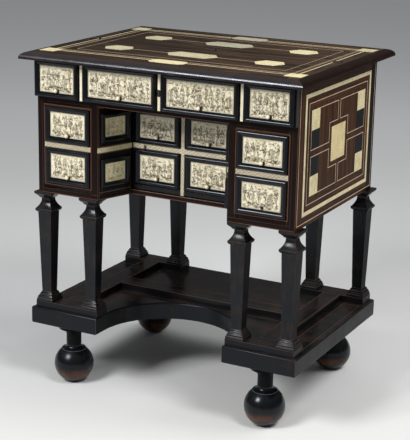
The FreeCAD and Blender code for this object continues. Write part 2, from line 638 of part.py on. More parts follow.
def top_inlay(direction):
    pieces = half_rectangle(BORDER_HALF, BORDER_REACH, BORDER_LINE, direction, CORNER_PLAQUE / 2)
    far = direction * BORDER_REACH, direction * (BORDER_REACH - BORDER_LINE)
    plaque_half = LONG_EDGE_PLAQUE[0] / 2
    for side in (-1, 1):
        ends = side * plaque_half, side * (BORDER_HALF - CORNER_PLAQUE / 2)
        pieces.append(box(*ends, *far, 0, INLAY_THICK))
        pieces.append(plate(side * BORDER_HALF, direction * BORDER_REACH, CORNER_PLAQUE, CORNER_PLAQUE))
    pieces.append(cut_corner_plate(0, direction * BORDER_REACH, *LONG_EDGE_PLAQUE))
    for inset in FINE_LINE_INSETS:
        half, reach = BORDER_HALF - inset, BORDER_REACH - inset
        clear = max(0, CORNER_PLAQUE / 2 - inset)
        pieces += half_rectangle(half, reach, FINE_LINE, direction, clear)
        gap = plaque_half if inset < LONG_EDGE_PLAQUE[1] / 2 else 0
        far = direction * reach, direction * (reach - FINE_LINE)
        for side in (-1, 1):
            end = half - FINE_LINE if clear == 0 else BORDER_HALF - CORNER_PLAQUE / 2
            pieces.append(box(side * gap, side * end, *far, 0, INLAY_THICK))
    row = direction * ROW_REACH
    width, height, point = ROW_MIDDLE_PLAQUE
    pieces.append(cut_corner_plate(0, row, width, height, point, height / 2))
    end_width, end_height, end_point = ROW_END_PLAQUE
    for side in (-1, 1):
        middle = side * ROW_PITCH
        pieces.append(cut_corner_plate(middle, row, end_width, end_height, end_point, end_height / 2))
        link = side * width / 2, side * (ROW_PITCH - end_width / 2)
        pieces.append(box(*link, row - FINE_LINE / 2, row + FINE_LINE / 2, 0, INLAY_THICK))
    return [on_face(p, V(0, SEAM_Y, TOP_SURFACE), V(1, 0, 0), V(0, 1, 0)) for p in pieces]


# Inlay of an end of the case, measured from its middle
SIDE_EDGE_LINE_INSET = 9.0
SIDE_BAND_INSET = (36.5, 25.5)
SIDE_BAND_WIDTH = 9.0
SIDE_LINE_TO_BAND = (12.0, 13.0)
SIDE_SQUARE = 46.0
SIDE_SQUARE_TO_LINE = (13.5, 16.5)
SIDE_BLACK_HEIGHT = 36.0
SIDE_MIDDLE_SQUARE = 82.0
SIDE_MIDDLE_FRAME_HALF = (54.0, 52.0)
SIDE_ARM_HALF = (5.5, 7.0)


def quarter_lines(outer, square):
    # The lines round one quarter of an end's field, which steps back round the middle plate.
    arm_x, arm_y = SIDE_ARM_HALF
    frame_x, frame_y = SIDE_MIDDLE_FRAME_HALF
    outer_x, outer_y = outer
    thin = FINE_LINE
    lines = [
        box(arm_x, square[0] - SIDE_SQUARE / 2, outer_y - thin, outer_y, 0, INLAY_THICK),
        box(arm_x, arm_x + thin, frame_y, outer_y, 0, INLAY_THICK),
        box(arm_x, frame_x, frame_y, frame_y + thin, 0, INLAY_THICK),
        box(frame_x, frame_x + thin, arm_y, frame_y + thin, 0, INLAY_THICK),
        box(frame_x, outer_x, arm_y, arm_y + thin, 0, INLAY_THICK),
        box(outer_x - thin, outer_x, arm_y, square[1] - SIDE_SQUARE / 2 - SIDE_BLACK_HEIGHT, 0, INLAY_THICK),
    ]
    return lines[0].multiFuse(lines[1:]).removeSplitter()


def side_inlay(side):
    half_y = (CASE_BACK - CASE_FRONT) / 2
    half_z = CASE_HEIGHT / 2
    inset = SIDE_EDGE_LINE_INSET
    pieces = line_frame(half_y - inset, half_z - inset, FINE_LINE, INLAY_THICK)
    band = half_y - SIDE_BAND_INSET[0], half_z - SIDE_BAND_INSET[1]
    line = [b - SIDE_BAND_WIDTH - clear for b, clear in zip(band, SIDE_LINE_TO_BAND)]
    outer = [e - FINE_LINE - clear for e, clear in zip(line, SIDE_SQUARE_TO_LINE)]
    square = [e - SIDE_SQUARE / 2 for e in outer]
    pieces += line_frame(*band, SIDE_BAND_WIDTH, INLAY_THICK)
    pieces += line_frame(*line, FINE_LINE, INLAY_THICK)
    pieces.append(plate(0, 0, SIDE_MIDDLE_SQUARE, SIDE_MIDDLE_SQUARE))
    ebony = square[1] - (SIDE_SQUARE + SIDE_BLACK_HEIGHT) / 2
    quarter = [
        plate(*square, SIDE_SQUARE, SIDE_SQUARE),
        plate(square[0], ebony, SIDE_SQUARE, SIDE_BLACK_HEIGHT),
        quarter_lines(outer, square),
    ]
    beside = [p.mirror(V(0, 0, 0), V(1, 0, 0)) for p in quarter]
    pieces += quarter + beside
    pieces += [p.mirror(V(0, 0, 0), V(0, 1, 0)) for p in quarter + beside]
    middle = V(side * HALF_CASE, (CASE_FRONT + CASE_BACK) / 2, CASE_BOTTOM + half_z)
    return [on_face(p, middle, V(0, side, 0), V(0, 0, 1)) for p in pieces]


def drawer_front(side, low, high):
    # The face of a drawer front on the plane of the pedestal: left, right, bottom, top.
    edges = sorted((side * (OPENING_IN + DRAWER_GAP), side * (OPENING_OUT - DRAWER_GAP)))
    return edges[0], edges[1], low + DRAWER_GAP, high - DRAWER_GAP


def drawer_box(rectangle):
    x0, x1, z0, z1 = rectangle
    front_back = DRAWER_FACE_Y + DRAWER_FRONT_THICK
    back = BACK_INSIDE - DRAWER_BACK_CLEAR
    wall_top = z1 - DRAWER_WALL_DROP
    left, right = x0 + DRAWER_WALL, x1 - DRAWER_WALL
    return [
        box(x0, x1, DRAWER_FACE_Y, front_back, z0, z1),
        box(x0, left, front_back, back, z0, wall_top),
        box(right, x1, front_back, back, z0, wall_top),
        box(left, right, back - DRAWER_WALL, back, z0, wall_top),
        box(left, right, front_back, back - DRAWER_WALL, z0, z0 + DRAWER_BOTTOM),
    ]


def framed(rectangle, margin):
    x0, x1, y0, y1 = rectangle
    return x0 + margin, x1 - margin, y0 + margin, y1 - margin


def save_drawer(name, side, low, high, has_knob):
    rectangle = drawer_front(side, low, high)
    outline = framed(rectangle, FRAME_MARGIN)
    panel = plaque(outline, FRAME_WIDTH)
    x, y = knob_place(outline, FRAME_WIDTH)
    save(name + "_box", drawer_box(rectangle))
    save(name + "_frame", on_front(frame(*outline, FRAME_WIDTH), DRAWER_FACE_Y))
    if has_knob:
        save(name + "_knob", on_front([knob(x, y)], DRAWER_FACE_Y))
    else:
        panel = panel.cut(Part.makeCylinder(KNOB_HOLE_RADIUS, PLAQUE_THICK, V(x, y, 0)))
    save(name + "_plaque", on_front([panel], DRAWER_FACE_Y))


def flap_outlines():
    low, high = FLAP_LOW + FLAP_FRAME_MARGIN, FLAP_HIGH - FLAP_FRAME_MARGIN
    end = HALF_CASE - FLAP_END_MARGIN
    clear = FLAP_STRIP_WIDTH / 2 + FLAP_FRAME_TO_STRIP
    outlines = []
    for left, right in ((-end, -FLAP_STRIP_PITCH - clear), (-FLAP_STRIP_PITCH + clear, -clear)):
        outlines += [(left, right, low, high), (-right, -left, low, high)]
    return outlines


def save_flap():
    outlines = flap_outlines()
    key_z = (FLAP_LOW + FLAP_HIGH) / 2
    hole = on_front([keyhole(0, key_z, FLAP_THICK)], FLAP_FACE_Y)[0]
    lock_back = FLAP_BACK_Y - LOCK_THICK
    lock_low, lock_high = key_z - LOCK_HEIGHT / 2, key_z + LOCK_HEIGHT / 2
    lock = box(-LOCK_WIDTH / 2, LOCK_WIDTH / 2, lock_back, FLAP_BACK_Y, lock_low, lock_high)
    cutters = [lock, hole]
    for moving, stay, groove, leaf, fixed in FLAP_HINGES:
        cutters += [groove, leaf]
    board = box(-HALF_CASE, HALF_CASE, FLAP_FACE_Y, FLAP_BACK_Y, FLAP_LOW, FLAP_HIGH)
    ivory = [plaque(o, FLAP_FRAME_WIDTH) for o in outlines]
    for x in (-FLAP_STRIP_PITCH, 0, FLAP_STRIP_PITCH):
        half = FLAP_STRIP_WIDTH / 2
        ivory.append(box(x - half, x + half, FLAP_LOW, FLAP_HIGH, 0, STRIP_THICK))
    frames = []
    for outline in outlines:
        frames += frame(*outline, FLAP_FRAME_WIDTH)
    knobs = [knob(*knob_place(o, FLAP_FRAME_WIDTH)) for o in outlines]
    save("flap_board", [cut_all(board, cutters)])
    save("flap_frames", on_front(frames, FLAP_FACE_Y))
    save("flap_plaques", [s.cut(hole) for s in on_front(ivory, FLAP_FACE_Y)])
    save("flap_knobs", on_front(knobs, FLAP_FACE_Y))
    save("flap_lock", [lock.cut(hole)])
    save("flap_hinges_moving", [moving for moving, stay, groove, leaf, fixed in FLAP_HINGES])
    fixed_parts = []
    for moving, stay, groove, leaf, fixed in FLAP_HINGES:
        fixed_parts += stay
    save("flap_hinges_fixed", fixed_parts)


def door_outlines():
    half_strip = DOOR_STRIP_WIDTH / 2 + DOOR_FRAME_TO_STRIP
    across = ((DOOR_LEFT + DOOR_FRAME_TO_EDGE, -half_strip), (half_strip, DOOR_RIGHT - DOOR_FRAME_TO_EDGE))
    lower = OPENING_LOW + DRAWER_GAP + FRAME_MARGIN, MIDDLE_RAIL_LOW - DRAWER_GAP - FRAME_MARGIN
    upper = MIDDLE_RAIL_HIGH + DRAWER_GAP + FRAME_MARGIN, DOOR_HIGH - FRAME_MARGIN
    return [(x0, x1, z0, z1) for x0, x1 in across for z0, z1 in (lower, upper)]


def save_door():
    outlines = door_outlines()
    board = box(DOOR_LEFT, DOOR_RIGHT, DOOR_FACE_Y, DOOR_FACE_Y + DOOR_THICK, DOOR_LOW, DOOR_HIGH)
    lock_left = DOOR_LEFT + DOOR_LOCK_MARGIN
    lock_back = DOOR_FACE_Y + DOOR_THICK
    lock_low, lock_high = STRIP_MIDDLE - LOCK_HEIGHT / 2, STRIP_MIDDLE + LOCK_HEIGHT / 2
    lock = box(lock_left, lock_left + LOCK_WIDTH, lock_back - LOCK_THICK, lock_back, lock_low, lock_high)
    key_x = DOOR_LEFT + DOOR_KEY_INSET
    hole = on_front([keyhole(key_x, STRIP_MIDDLE, DOOR_THICK)], DOOR_FACE_Y)[0]
    half = DOOR_STRIP_WIDTH / 2
    strips = [
        box(-half, half, DOOR_LOW, MIDDLE_RAIL_LOW, 0, STRIP_THICK),
        box(-half, half, MIDDLE_RAIL_HIGH, DOOR_HIGH, 0, STRIP_THICK),
        box(DOOR_LEFT, DOOR_RIGHT, MIDDLE_RAIL_LOW, MIDDLE_RAIL_HIGH, 0, STRIP_THICK),
    ]
    frames = []
    for outline in outlines:
        frames += frame(*outline, FRAME_WIDTH)
    ivory = on_front([plaque(o, FRAME_WIDTH) for o in outlines] + strips, DOOR_FACE_Y)
    knobs = [knob(*knob_place(o, FRAME_WIDTH)) for o in outlines]
    save("door_board", [cut_all(board, [lock, hole])])
    save("door_frames", on_front(frames, DOOR_FACE_Y))
    save("door_plaques", [s.cut(hole) for s in ivory])
    save("door_knobs", on_front(knobs, DOOR_FACE_Y))
    save("door_lock", [lock.cut(hole)])
    save("door_hinges_moving", [moving for moving, stay, groove, fixed in DOOR_HINGES])
    fixed_parts = []
    for moving, stay, groove, fixed in DOOR_HINGES:
        fixed_parts += stay
    save("door_hinges_fixed", fixed_parts)


def save_kneehole_ornament():
    length = math.hypot(RECESS_TAPER, RECESS_DEPTH)
    levels = [
        (FLOOR_TOP + KNEE_FRAME_TO_FLOOR, MIDDLE_RAIL_LOW - KNEE_FRAME_UNDER_STRIP),
        (MIDDLE_RAIL_HIGH + KNEE_FRAME_OVER_STRIP, DECK_UNDER - KNEE_FRAME_TO_HEAD),
    ]
    frames, plaques = [], []
    for side in (-1, 1):
        front, back = V(side * KNEE_HALF, CASE_FRONT, 0), V(side * RECESS_HALF_WIDTH, RECESS_Y, 0)
        origin, end = (front, back) if side < 0 else (back, front)
        across = (end - origin).normalize()
        pieces = [box(0, length, MIDDLE_RAIL_LOW, MIDDLE_RAIL_HIGH, 0, STRIP_THICK)]
        strips = []
        for low, high in levels:
            outline = (KNEE_FRAME_TO_EDGE, length - KNEE_FRAME_TO_EDGE, low, high)
            strips += frame(*outline, KNEE_FRAME_WIDTH)
            pieces.append(plaque(outline, KNEE_FRAME_WIDTH))
        frames += [on_face(s, origin, across, V(0, 0, 1)) for s in strips]
        plaques += [on_face(p, origin, across, V(0, 0, 1)) for p in pieces]
    save("kneehole_frames", frames)
    save("kneehole_plaques", plaques)


def save_top():
    front_board, front_edges = top_half(TOP_FRONT, 1)
    rear_board, rear_edges = top_half(TOP_BACK, -1)
    front_cutters, rear_cutters = [], []
    for moving, stay, groove, leaf, fixed in TOP_HINGES:
        front_cutters += [groove, leaf]
        rear_cutters += [groove] + fixed
    grooves = [groove for moving, stay, groove, leaf, fixed in TOP_HINGES]
    save("top_front_board", [cut_all(front_board, front_cutters)])
    save("top_rear_board", [cut_all(rear_board, rear_cutters)])
    save("top_front_edging", [cut_all(e, front_cutters) for e in front_edges])
    save("top_rear_edging", [cut_all(e, rear_cutters) for e in rear_edges])
    save("top_front_inlay", [cut_all(p, grooves) for p in top_inlay(-1)])
    save("top_rear_inlay", [cut_all(p, grooves) for p in top_inlay(1)])
    save("top_hinges_front", [moving for moving, stay, groove, leaf, fixed in TOP_HINGES])
    rear_parts = []
    for moving, stay, groove, leaf, fixed in TOP_HINGES:
        rear_parts += stay
    save("top_hinges_rear", rear_parts)


def save_base():
    save("base_slab", [base_slab()])
    save("stretcher", stretcher())
    leg_front, leg_back = PAD_FRONT + LEG_FROM_PAD_EDGE, PAD_BACK - LEG_FROM_PAD_EDGE
    for side, hand in ((-1, "left"), (1, "right")):
        for y, row in ((leg_front, "front"), (leg_back, "back")):
            pair = [leg(side * LEG_OUTER, y), leg(side * LEG_INNER, y)]
            save("legs_" + row + "_" + hand, pair)
        save("foot_front_" + hand, [ball_foot(side * FOOT_X, SLAB_FRONT + FOOT_FROM_FRONT)])
        save("foot_back_" + hand, [ball_foot(side * FOOT_X, SLAB_BACK - FOOT_FROM_BACK)])


def save_case():
    for side, hand in ((-1, "left"), (1, "right")):
        edges = side * INSIDE, side * HALF_CASE
        save("side_" + hand, [box(*edges, CASE_FRONT, CASE_BACK, CASE_BOTTOM, CASE_TOP)])
        save("side_inlay_" + hand, side_inlay(side))
    save("back_board", [box(-INSIDE, INSIDE, BACK_INSIDE, CASE_BACK, CASE_BOTTOM, CASE_TOP)])
    middle = box(-RECESS_HALF_WIDTH, RECESS_HALF_WIDTH, RECESS_Y, BACK_INSIDE, CASE_BOTTOM, FLOOR_TOP)
    save("case_floor", [pedestal_floor(-1), pedestal_floor(1), middle])
    save("writing_deck", [writing_deck()])
    save("kneehole_walls", kneehole_walls())
    save("front_rails", front_rails())
    save("drawer_bearers", drawer_bearers())
    strips = []
    for side in (-1, 1):
        edges = sorted((side * OPENING_IN, side * OPENING_OUT))
        strips.append(box(*edges, MIDDLE_RAIL_LOW, MIDDLE_RAIL_HIGH, 0, STRIP_THICK))
    save("rail_strips", on_front(strips, CASE_FRONT))


os.makedirs("parts", exist_ok=True)
save_base()
save_case()
save_kneehole_ornament()
save_top()
save_flap()
save_door()
for side, hand in ((-1, "left"), (1, "right")):
    save_drawer("drawer_upper_" + hand, side, MIDDLE_RAIL_HIGH, OPENING_HIGH, True)
    save_drawer("drawer_lower_" + hand, side, OPENING_LOW, MIDDLE_RAIL_LOW, hand == "left")
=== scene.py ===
import math
import random

import bmesh
import bpy
from mathutils import Matrix, Vector


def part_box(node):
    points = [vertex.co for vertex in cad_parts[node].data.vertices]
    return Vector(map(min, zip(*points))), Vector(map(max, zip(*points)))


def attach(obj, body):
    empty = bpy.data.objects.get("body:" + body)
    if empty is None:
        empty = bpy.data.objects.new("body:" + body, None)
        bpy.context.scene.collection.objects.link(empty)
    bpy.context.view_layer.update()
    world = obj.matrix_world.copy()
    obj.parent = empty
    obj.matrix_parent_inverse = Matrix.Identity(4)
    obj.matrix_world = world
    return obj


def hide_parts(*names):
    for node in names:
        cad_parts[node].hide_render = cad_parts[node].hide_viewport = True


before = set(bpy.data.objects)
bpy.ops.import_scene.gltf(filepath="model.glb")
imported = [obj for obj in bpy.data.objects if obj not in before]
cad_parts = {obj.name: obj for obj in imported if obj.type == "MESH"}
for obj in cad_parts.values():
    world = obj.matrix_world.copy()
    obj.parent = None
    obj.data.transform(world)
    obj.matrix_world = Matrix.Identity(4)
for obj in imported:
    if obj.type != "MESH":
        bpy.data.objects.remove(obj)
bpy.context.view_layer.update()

MM = 0.001


# Ball feet
# Each foot is turned from one blank of black-stained pear wood, with a ball, a fine bead, a hollow flare, a
# neck and a cup, and is tenoned into the slab. The stain has rubbed through to brown in a belt low on it,
# and the neck and the cup, which are seldom touched, have stayed dull.
STAIN_TONES = ("#08090b", "#131517")
SHEEN_BLUE = "#cfd8e4"
RUBBED_BROWN = "#523421"
STREAK_WIDTH = 2.5 * MM
STREAK_LENGTH = 70 * MM
CLOUD_SIZE = 45 * MM
RUB_FROM = 4 * MM
FOOT_RUB = (27 * MM, 48 * MM)
NECK_FROM = 97 * MM
BEAD_LEVEL = 85 * MM
BEAD_RING = 29.7 * MM
BEAD_HALF = 1.2 * MM
BEAD_TURNS = 64
BEAD_SIDES = 8
WELD = 0.004 * MM
CREASE = math.radians(22)
ARRIS = math.radians(32)
LEVEL_JOIN = math.radians(0.5)
# A Mix node's sockets for two values or two colours, and how it is set for colours.
VALUE_A, VALUE_B, COLOUR_A, COLOUR_B = 2, 3, 6, 7
COLOURS = {"output": 2, "data_type": "RGBA"}


def linear(colour):
    # An sRGB hex colour as linear red, green, blue and alpha.
    values = [int(colour[i:i + 2], 16) / 255 for i in (1, 3, 5)]
    return [v / 12.92 if v <= 0.04045 else ((v + 0.055) / 1.055) ** 2.4 for v in values] + [1.0]


def feed(tree, node, inputs):
    # Fills a node's inputs, each with a plain value or another node's output.
    for socket, value in inputs.items():
        if isinstance(value, bpy.types.NodeSocket):
            tree.links.new(value, node.inputs[socket])
        else:
            node.inputs[socket].default_value = value


def add(tree, kind, inputs, output=0, **settings):
    # Adds one node with its settings and links, of a kind named without the words ShaderNode or GeometryNode.
    # Gives back the output asked for, or all of them for None.
    node = tree.nodes.new(tree.bl_idname.removesuffix("Tree") + kind)
    for key, value in settings.items():
        setattr(node, key, value)
    feed(tree, node, inputs)
    return node.outputs if output is None else node.outputs[output]


def new_material(name):
    # A material with its tree, its shader and the object's own coordinates.
    material = bpy.data.materials.new(name)
    material.use_nodes = True
    tree = material.node_tree
    return material, tree, tree.nodes["Principled BSDF"], add(tree, "TexCoord", {}, "Object")


def streaks(tree, place, grain, length, width, **figure):
    # Streaks of a given length and width that run along one of the axes.
    scale = [1 / (length if axis == grain else width) for axis in "xyz"]
    drawn_out = add(tree, "Mapping", {"Vector": place, "Scale": scale})
    return add(tree, "TexNoise", {"Vector": drawn_out, "Scale": 1.0, **figure})


def stained_wood(name, grain, gloss, sheen, rub=None, worn=0.0, brown=RUBBED_BROWN, tones=STAIN_TONES):
    # Black-stained and waxed pear wood: a close dark figure, a satin sheen and faint brown clouds, which
    # spread as it is worn. Where rub gives two levels, the stain is worn to brown between them.
    material, tree, shader, place = new_material(name)
    streak = streaks(tree, place, grain, STREAK_LENGTH, STREAK_WIDTH, Detail=4.0, Roughness=0.6)
    cloud = add(tree, "TexNoise", {"Vector": place, "Scale": 1 / CLOUD_SIZE, "Detail": 3.0})
    dark = add(tree, "Mix", {0: streak, COLOUR_A: linear(tones[0]), COLOUR_B: linear(tones[1])}, **COLOURS)
    streaked_cloud = add(tree, "Mix", {0: 0.4, VALUE_A: cloud, VALUE_B: streak})
    wear = add(tree, "MapRange", {
        "Value": streaked_cloud, "From Min": 0.55 - 0.13 * worn, "From Max": 0.8 - 0.1 * worn,
        "To Max": 0.3 + 0.5 * worn})
    if rub:
        level = add(tree, "SeparateXYZ", {0: place}, "Z")
        rise = add(tree, "MapRange", {
            "Value": level, "From Min": RUB_FROM, "From Max": rub[0]}, interpolation_type="SMOOTHSTEP")
        fall = add(tree, "MapRange", {
            "Value": level, "From Min": rub[0], "From Max": rub[1], "To Min": 1.0, "To Max": 0.0},
            interpolation_type="SMOOTHSTEP")
        belt = add(tree, "Math", {0: rise, 1: fall}, operation="MULTIPLY")
        broken = add(tree, "MapRange", {"Value": cloud, "From Min": 0.38, "From Max": 0.54, "To Min": 0.15})
        rubbed = add(tree, "Math", {0: belt, 1: broken}, operation="MULTIPLY")
        wear = add(tree, "Math", {0: wear, 1: rubbed}, operation="MAXIMUM")
    colour = add(tree, "Mix", {0: wear, COLOUR_A: dark, COLOUR_B: linear(brown)}, **COLOURS)
    rough = add(tree, "MapRange", {
        "Value": cloud, "From Min": 0.3, "From Max": 0.7, "To Min": gloss - 0.05, "To Max": gloss + 0.08})
    bump = add(tree, "Bump", {"Height": streak, "Strength": 3 * gloss ** 3, "Distance": 0.2 * MM})
    feed(tree, shader, {
        "Base Color": colour, "Roughness": rough, "Normal": bump, "Specular IOR Level": sheen,
        "Specular Tint": linear(SHEEN_BLUE)})
    return material


def centre(node):
    # The middle of a node's box.
    low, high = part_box(node)
    return (low + high) / 2


def settled(bm):
    # A worked shape as a new mesh.
    mesh = bpy.data.meshes.new("shape")
    bm.to_mesh(mesh)
    bm.free()
    return mesh


def rubbed_copy(node, rub_width=0.0):
    # The solids' own shape with welded corners and no faces inside the joints. A width rubs the arrises
    # down to narrow flats that take the second finish.
    bm = bmesh.new()
    bm.from_mesh(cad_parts[node].data)
    for face in bm.faces:
        face.material_index = 0
    bmesh.ops.remove_doubles(bm, verts=bm.verts, dist=WELD)
    inner = [f for f in bm.faces if all(len(e.link_faces) > 2 for e in f.edges)]
    bmesh.ops.delete(bm, geom=inner, context="FACES")
    if rub_width:
        bmesh.ops.dissolve_limit(bm, angle_limit=LEVEL_JOIN, verts=bm.verts, edges=bm.edges)
        arrises = [e for e in bm.edges if len(e.link_faces) == 2 and e.calc_face_angle() > ARRIS]
        bmesh.ops.bevel(
            bm, geom=arrises, offset=rub_width, segments=2, profile=0.5, affect="EDGES",
            clamp_overlap=True, material=1)
    return settled(bm)


def refinish(mesh, finish, picks):
    # Gives another finish to the unrubbed faces that are picked by the way they look and their place.
    for polygon in mesh.polygons:
        if polygon.material_index == 0 and picks(polygon.normal, polygon.center):
            polygon.material_index = finish


def turned_bead(middle):
    # The round bead below the flare.
    bm = bmesh.new()
    upright = Matrix.Rotation(math.pi / 2, 4, "X")
    start = Matrix.Translation((middle.x + BEAD_RING, middle.y, BEAD_LEVEL)) @ upright
    bmesh.ops.create_circle(bm, segments=BEAD_SIDES, radius=BEAD_HALF, matrix=start)
    bmesh.ops.spin(
        bm, geom=bm.verts[:] + bm.edges[:], cent=(middle.x, middle.y, 0), axis=(0, 0, 1), angle=math.tau,
        steps=BEAD_TURNS, use_merge=True)
    bmesh.ops.recalc_face_normals(bm, faces=bm.faces)
    return settled(bm)


def show(name, mesh, finishes, body, node=None):
    # Puts a finished mesh into the scene as one piece that rides on a body and may stand for a node.
    mesh.name = name
    for finish in finishes:
        mesh.materials.append(finish)
    if "custom_normal" in mesh.attributes:
        mesh.attributes.remove(mesh.attributes["custom_normal"])
    mesh.polygons.foreach_set("use_smooth", [True] * len(mesh.polygons))
    mesh.set_sharp_from_angle(angle=CREASE)
    piece = bpy.data.objects.new(name, mesh)
    bpy.context.scene.collection.objects.link(piece)
    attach(piece, body)
    if node:
        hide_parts(node)
    return piece


turned_pear = stained_wood("turned_stained_pear", "z", 0.22, 0.35, FOOT_RUB)
neck_pear = stained_wood("turned_pear_neck", "z", 0.38, 0.08)
# The bead's stain is a lighter blue-grey, a painted highlight along the ring.
bead_highlight_paint = stained_wood("turned_pear_bead_painted_highlight", "z", 0.3, 0.5, tones=("#30343a", "#464b52"))
corner_names = [f"{row}_{hand}" for row in ("front", "back") for hand in ("left", "right")]
for corner_name in corner_names:
    node = f"foot_{corner_name}"
    foot = rubbed_copy(node)
    refinish(foot, 1, lambda way, place: place.z > NECK_FROM)
    show(f"ball_{node}", foot, [turned_pear, neck_pear], "case", node)
    show(f"bead_{node}", turned_bead(centre(node)), [bead_highlight_paint], "case")


# Slab and stretcher
# The slab is one thick board with a half-round bay in front. The flat stretcher is glued on top of it in
# the pattern of an H, with pads below the legs. Both are black-stained, with worn brown arrises.
TRODDEN_BROWN = "#35271e"
ARRIS_PATCH = 12 * MM
BASE_RUB = 1.0 * MM
FACING = 0.9


def thin_finish(name, tones, roughness, size, detail=3.0, rougher=0.0, relief=0.1, metallic=0.0):
    # A thin finish whose colour wavers between two tones over a given size, with its roughness and relief.
    material, tree, shader, place = new_material(name)
    patch = add(tree, "TexNoise", {"Vector": place, "Scale": 1 / size, "Detail": detail})
    tone = add(tree, "Mix", {0: patch, COLOUR_A: linear(tones[0]), COLOUR_B: linear(tones[1])}, **COLOURS)
    rough = add(tree, "MapRange", {"Value": patch, "To Min": roughness, "To Max": roughness + rougher})
    bump = add(tree, "Bump", {"Height": patch, "Strength": relief, "Distance": relief * MM})
    feed(tree, shader, {"Base Color": tone, "Roughness": rough, "Normal": bump, "Metallic": metallic})
    return material


board_black = stained_wood("stained_pear_across", "x", 0.32, 0.28)
trodden_black = stained_wood("stained_pear_trodden", "x", 0.22, 0.25, worn=1.0, brown=TRODDEN_BROWN)
end_black = stained_wood("stained_pear_board_end", "y", 0.36, 0.14, worn=0.5, brown=TRODDEN_BROWN)
worn_arris = thin_finish("worn_brown_arris", ("#43332a", STAIN_TONES[1]), 0.42, ARRIS_PATCH)
for name, node in (("slab", "base_slab"), ("h_stretcher", "stretcher")):
    board = rubbed_copy(node, BASE_RUB)
    refinish(board, 2, lambda way, place: way.z > FACING)
    refinish(board, 3, lambda way, place: abs(way.x) > FACING)
    show(name, board, [board_black, worn_arris, trodden_black, end_black], "case", node)


# Legs
# Eight square tapered legs of black-stained pear wood, each shaped by plane and file with a stepped foot,
# a sharp collar, a hollow neck and a cap, and dowelled between the stretcher and the case. Their fronts
# and backs are polished by rubbing, and the sides between them have stayed dull.
LEG_RUB = 0.6 * MM

leg_black = stained_wood("stained_pear_upright", "z", 0.2, 0.32, worn=0.65, brown=TRODDEN_BROWN)
leg_dull = stained_wood("stained_pear_dull", "z", 0.42, 0.04, worn=0.65, brown=TRODDEN_BROWN)
leg_arris = thin_finish("worn_leg_arris", ("#2c231e", STAIN_TONES[0]), 0.46, ARRIS_PATCH)
for corner_name in corner_names:
    node = f"legs_{corner_name}"
    legs = rubbed_copy(node, LEG_RUB)
    refinish(legs, 2, lambda way, place: abs(way.x) > FACING)
    show(f"square_{node}", legs, [leg_black, leg_arris, leg_dull], "case", node)


# Carcass boards
# Sides, front rails, floor and deck are veneered in dark rosewood over a plain wood carcass, and the
# slanted walls of the kneehole are stained black. Back and bearers are the plain wood itself, oiled.
RAIL_TONES = ("#1f120d", "#130b08", "#080403")
END_TONES = ("#4a2b16", "#24160b", "#0d0704")
END_BLACK = "#0b0a0a"
OAK_TONES = ("#8a6a48", "#6b4e31", "#3a2817")
PORE_WIDTH = 1.6 * MM
PORE_LENGTH = 30 * MM
FIGURE_WIDTH = 13 * MM
FIGURE_LENGTH = 190 * MM
CARCASS_RUB = 0.5 * MM
END_MIDDLE = (0.0, *centre("side_right")[1:])
END_BAND = (0.0, 186 * MM, 129.5 * MM)
MARGIN_FROM_BAND = -22 * MM
BLACK_MARGIN_FROM = 196 * MM


def blend(tree, value, low, high, first, last, most=1.0):
    # A colour that goes from the first to the last, or to most of it, as a value goes from low to high.
    share = add(tree, "MapRange", {"Value": value, "From Min": low, "From Max": high, "To Max": most})
    return add(tree, "Mix", {0: share, COLOUR_A: first, COLOUR_B: last}, **COLOURS)


def wood_figure(tree, place, grain, tones):
    # Broad bands of colour with fine dark pores along the grain, as a colour and the pores' height.
    pale, middle, dark = [linear(tone) for tone in tones]
    bands = streaks(tree, place, grain, FIGURE_LENGTH, FIGURE_WIDTH, Detail=3.0, Distortion=0.6)
    pores = streaks(tree, place, grain, PORE_LENGTH, PORE_WIDTH, Detail=4.0, Roughness=0.65)
    body = blend(tree, bands, 0.34, 0.66, middle, pale)
    return blend(tree, pores, 0.5, 0.72, body, dark, 0.85), pores


def polish(tree, shader, colour, pores, gloss, sheen):
    # Joins a wood's colour to its shader, duller and lower in the pores.
    rough = add(tree, "MapRange", {"Value": pores, "To Min": gloss - 0.05, "To Max": gloss + 0.1})
    bump = add(tree, "Bump", {"Height": pores, "Strength": 0.1, "Distance": 0.15 * MM}, invert=True)
    feed(tree, shader, {
        "Base Color": colour, "Roughness": rough, "Normal": bump, "Specular IOR Level": sheen})


def crossed_wood(tree, place, grains, tones, share):
    # Wood along the first of two axes, and along the second where the share is 1.
    (first, first_pores), (last, last_pores) = [wood_figure(tree, place, grain, tones) for grain in grains]
    colour = add(tree, "Mix", {0: share, COLOUR_A: first, COLOUR_B: last}, **COLOURS)
    pores = add(tree, "Mix", {0: share, VALUE_A: first_pores, VALUE_B: last_pores})
    return colour, pores


def figured_wood(name, grain, tones, gloss):
    # A polished wood with its figure along one axis.
    material, tree, shader, place = new_material(name)
    colour, pores = wood_figure(tree, place, grain, tones)
    polish(tree, shader, colour, pores, gloss, 0.1)
    return material


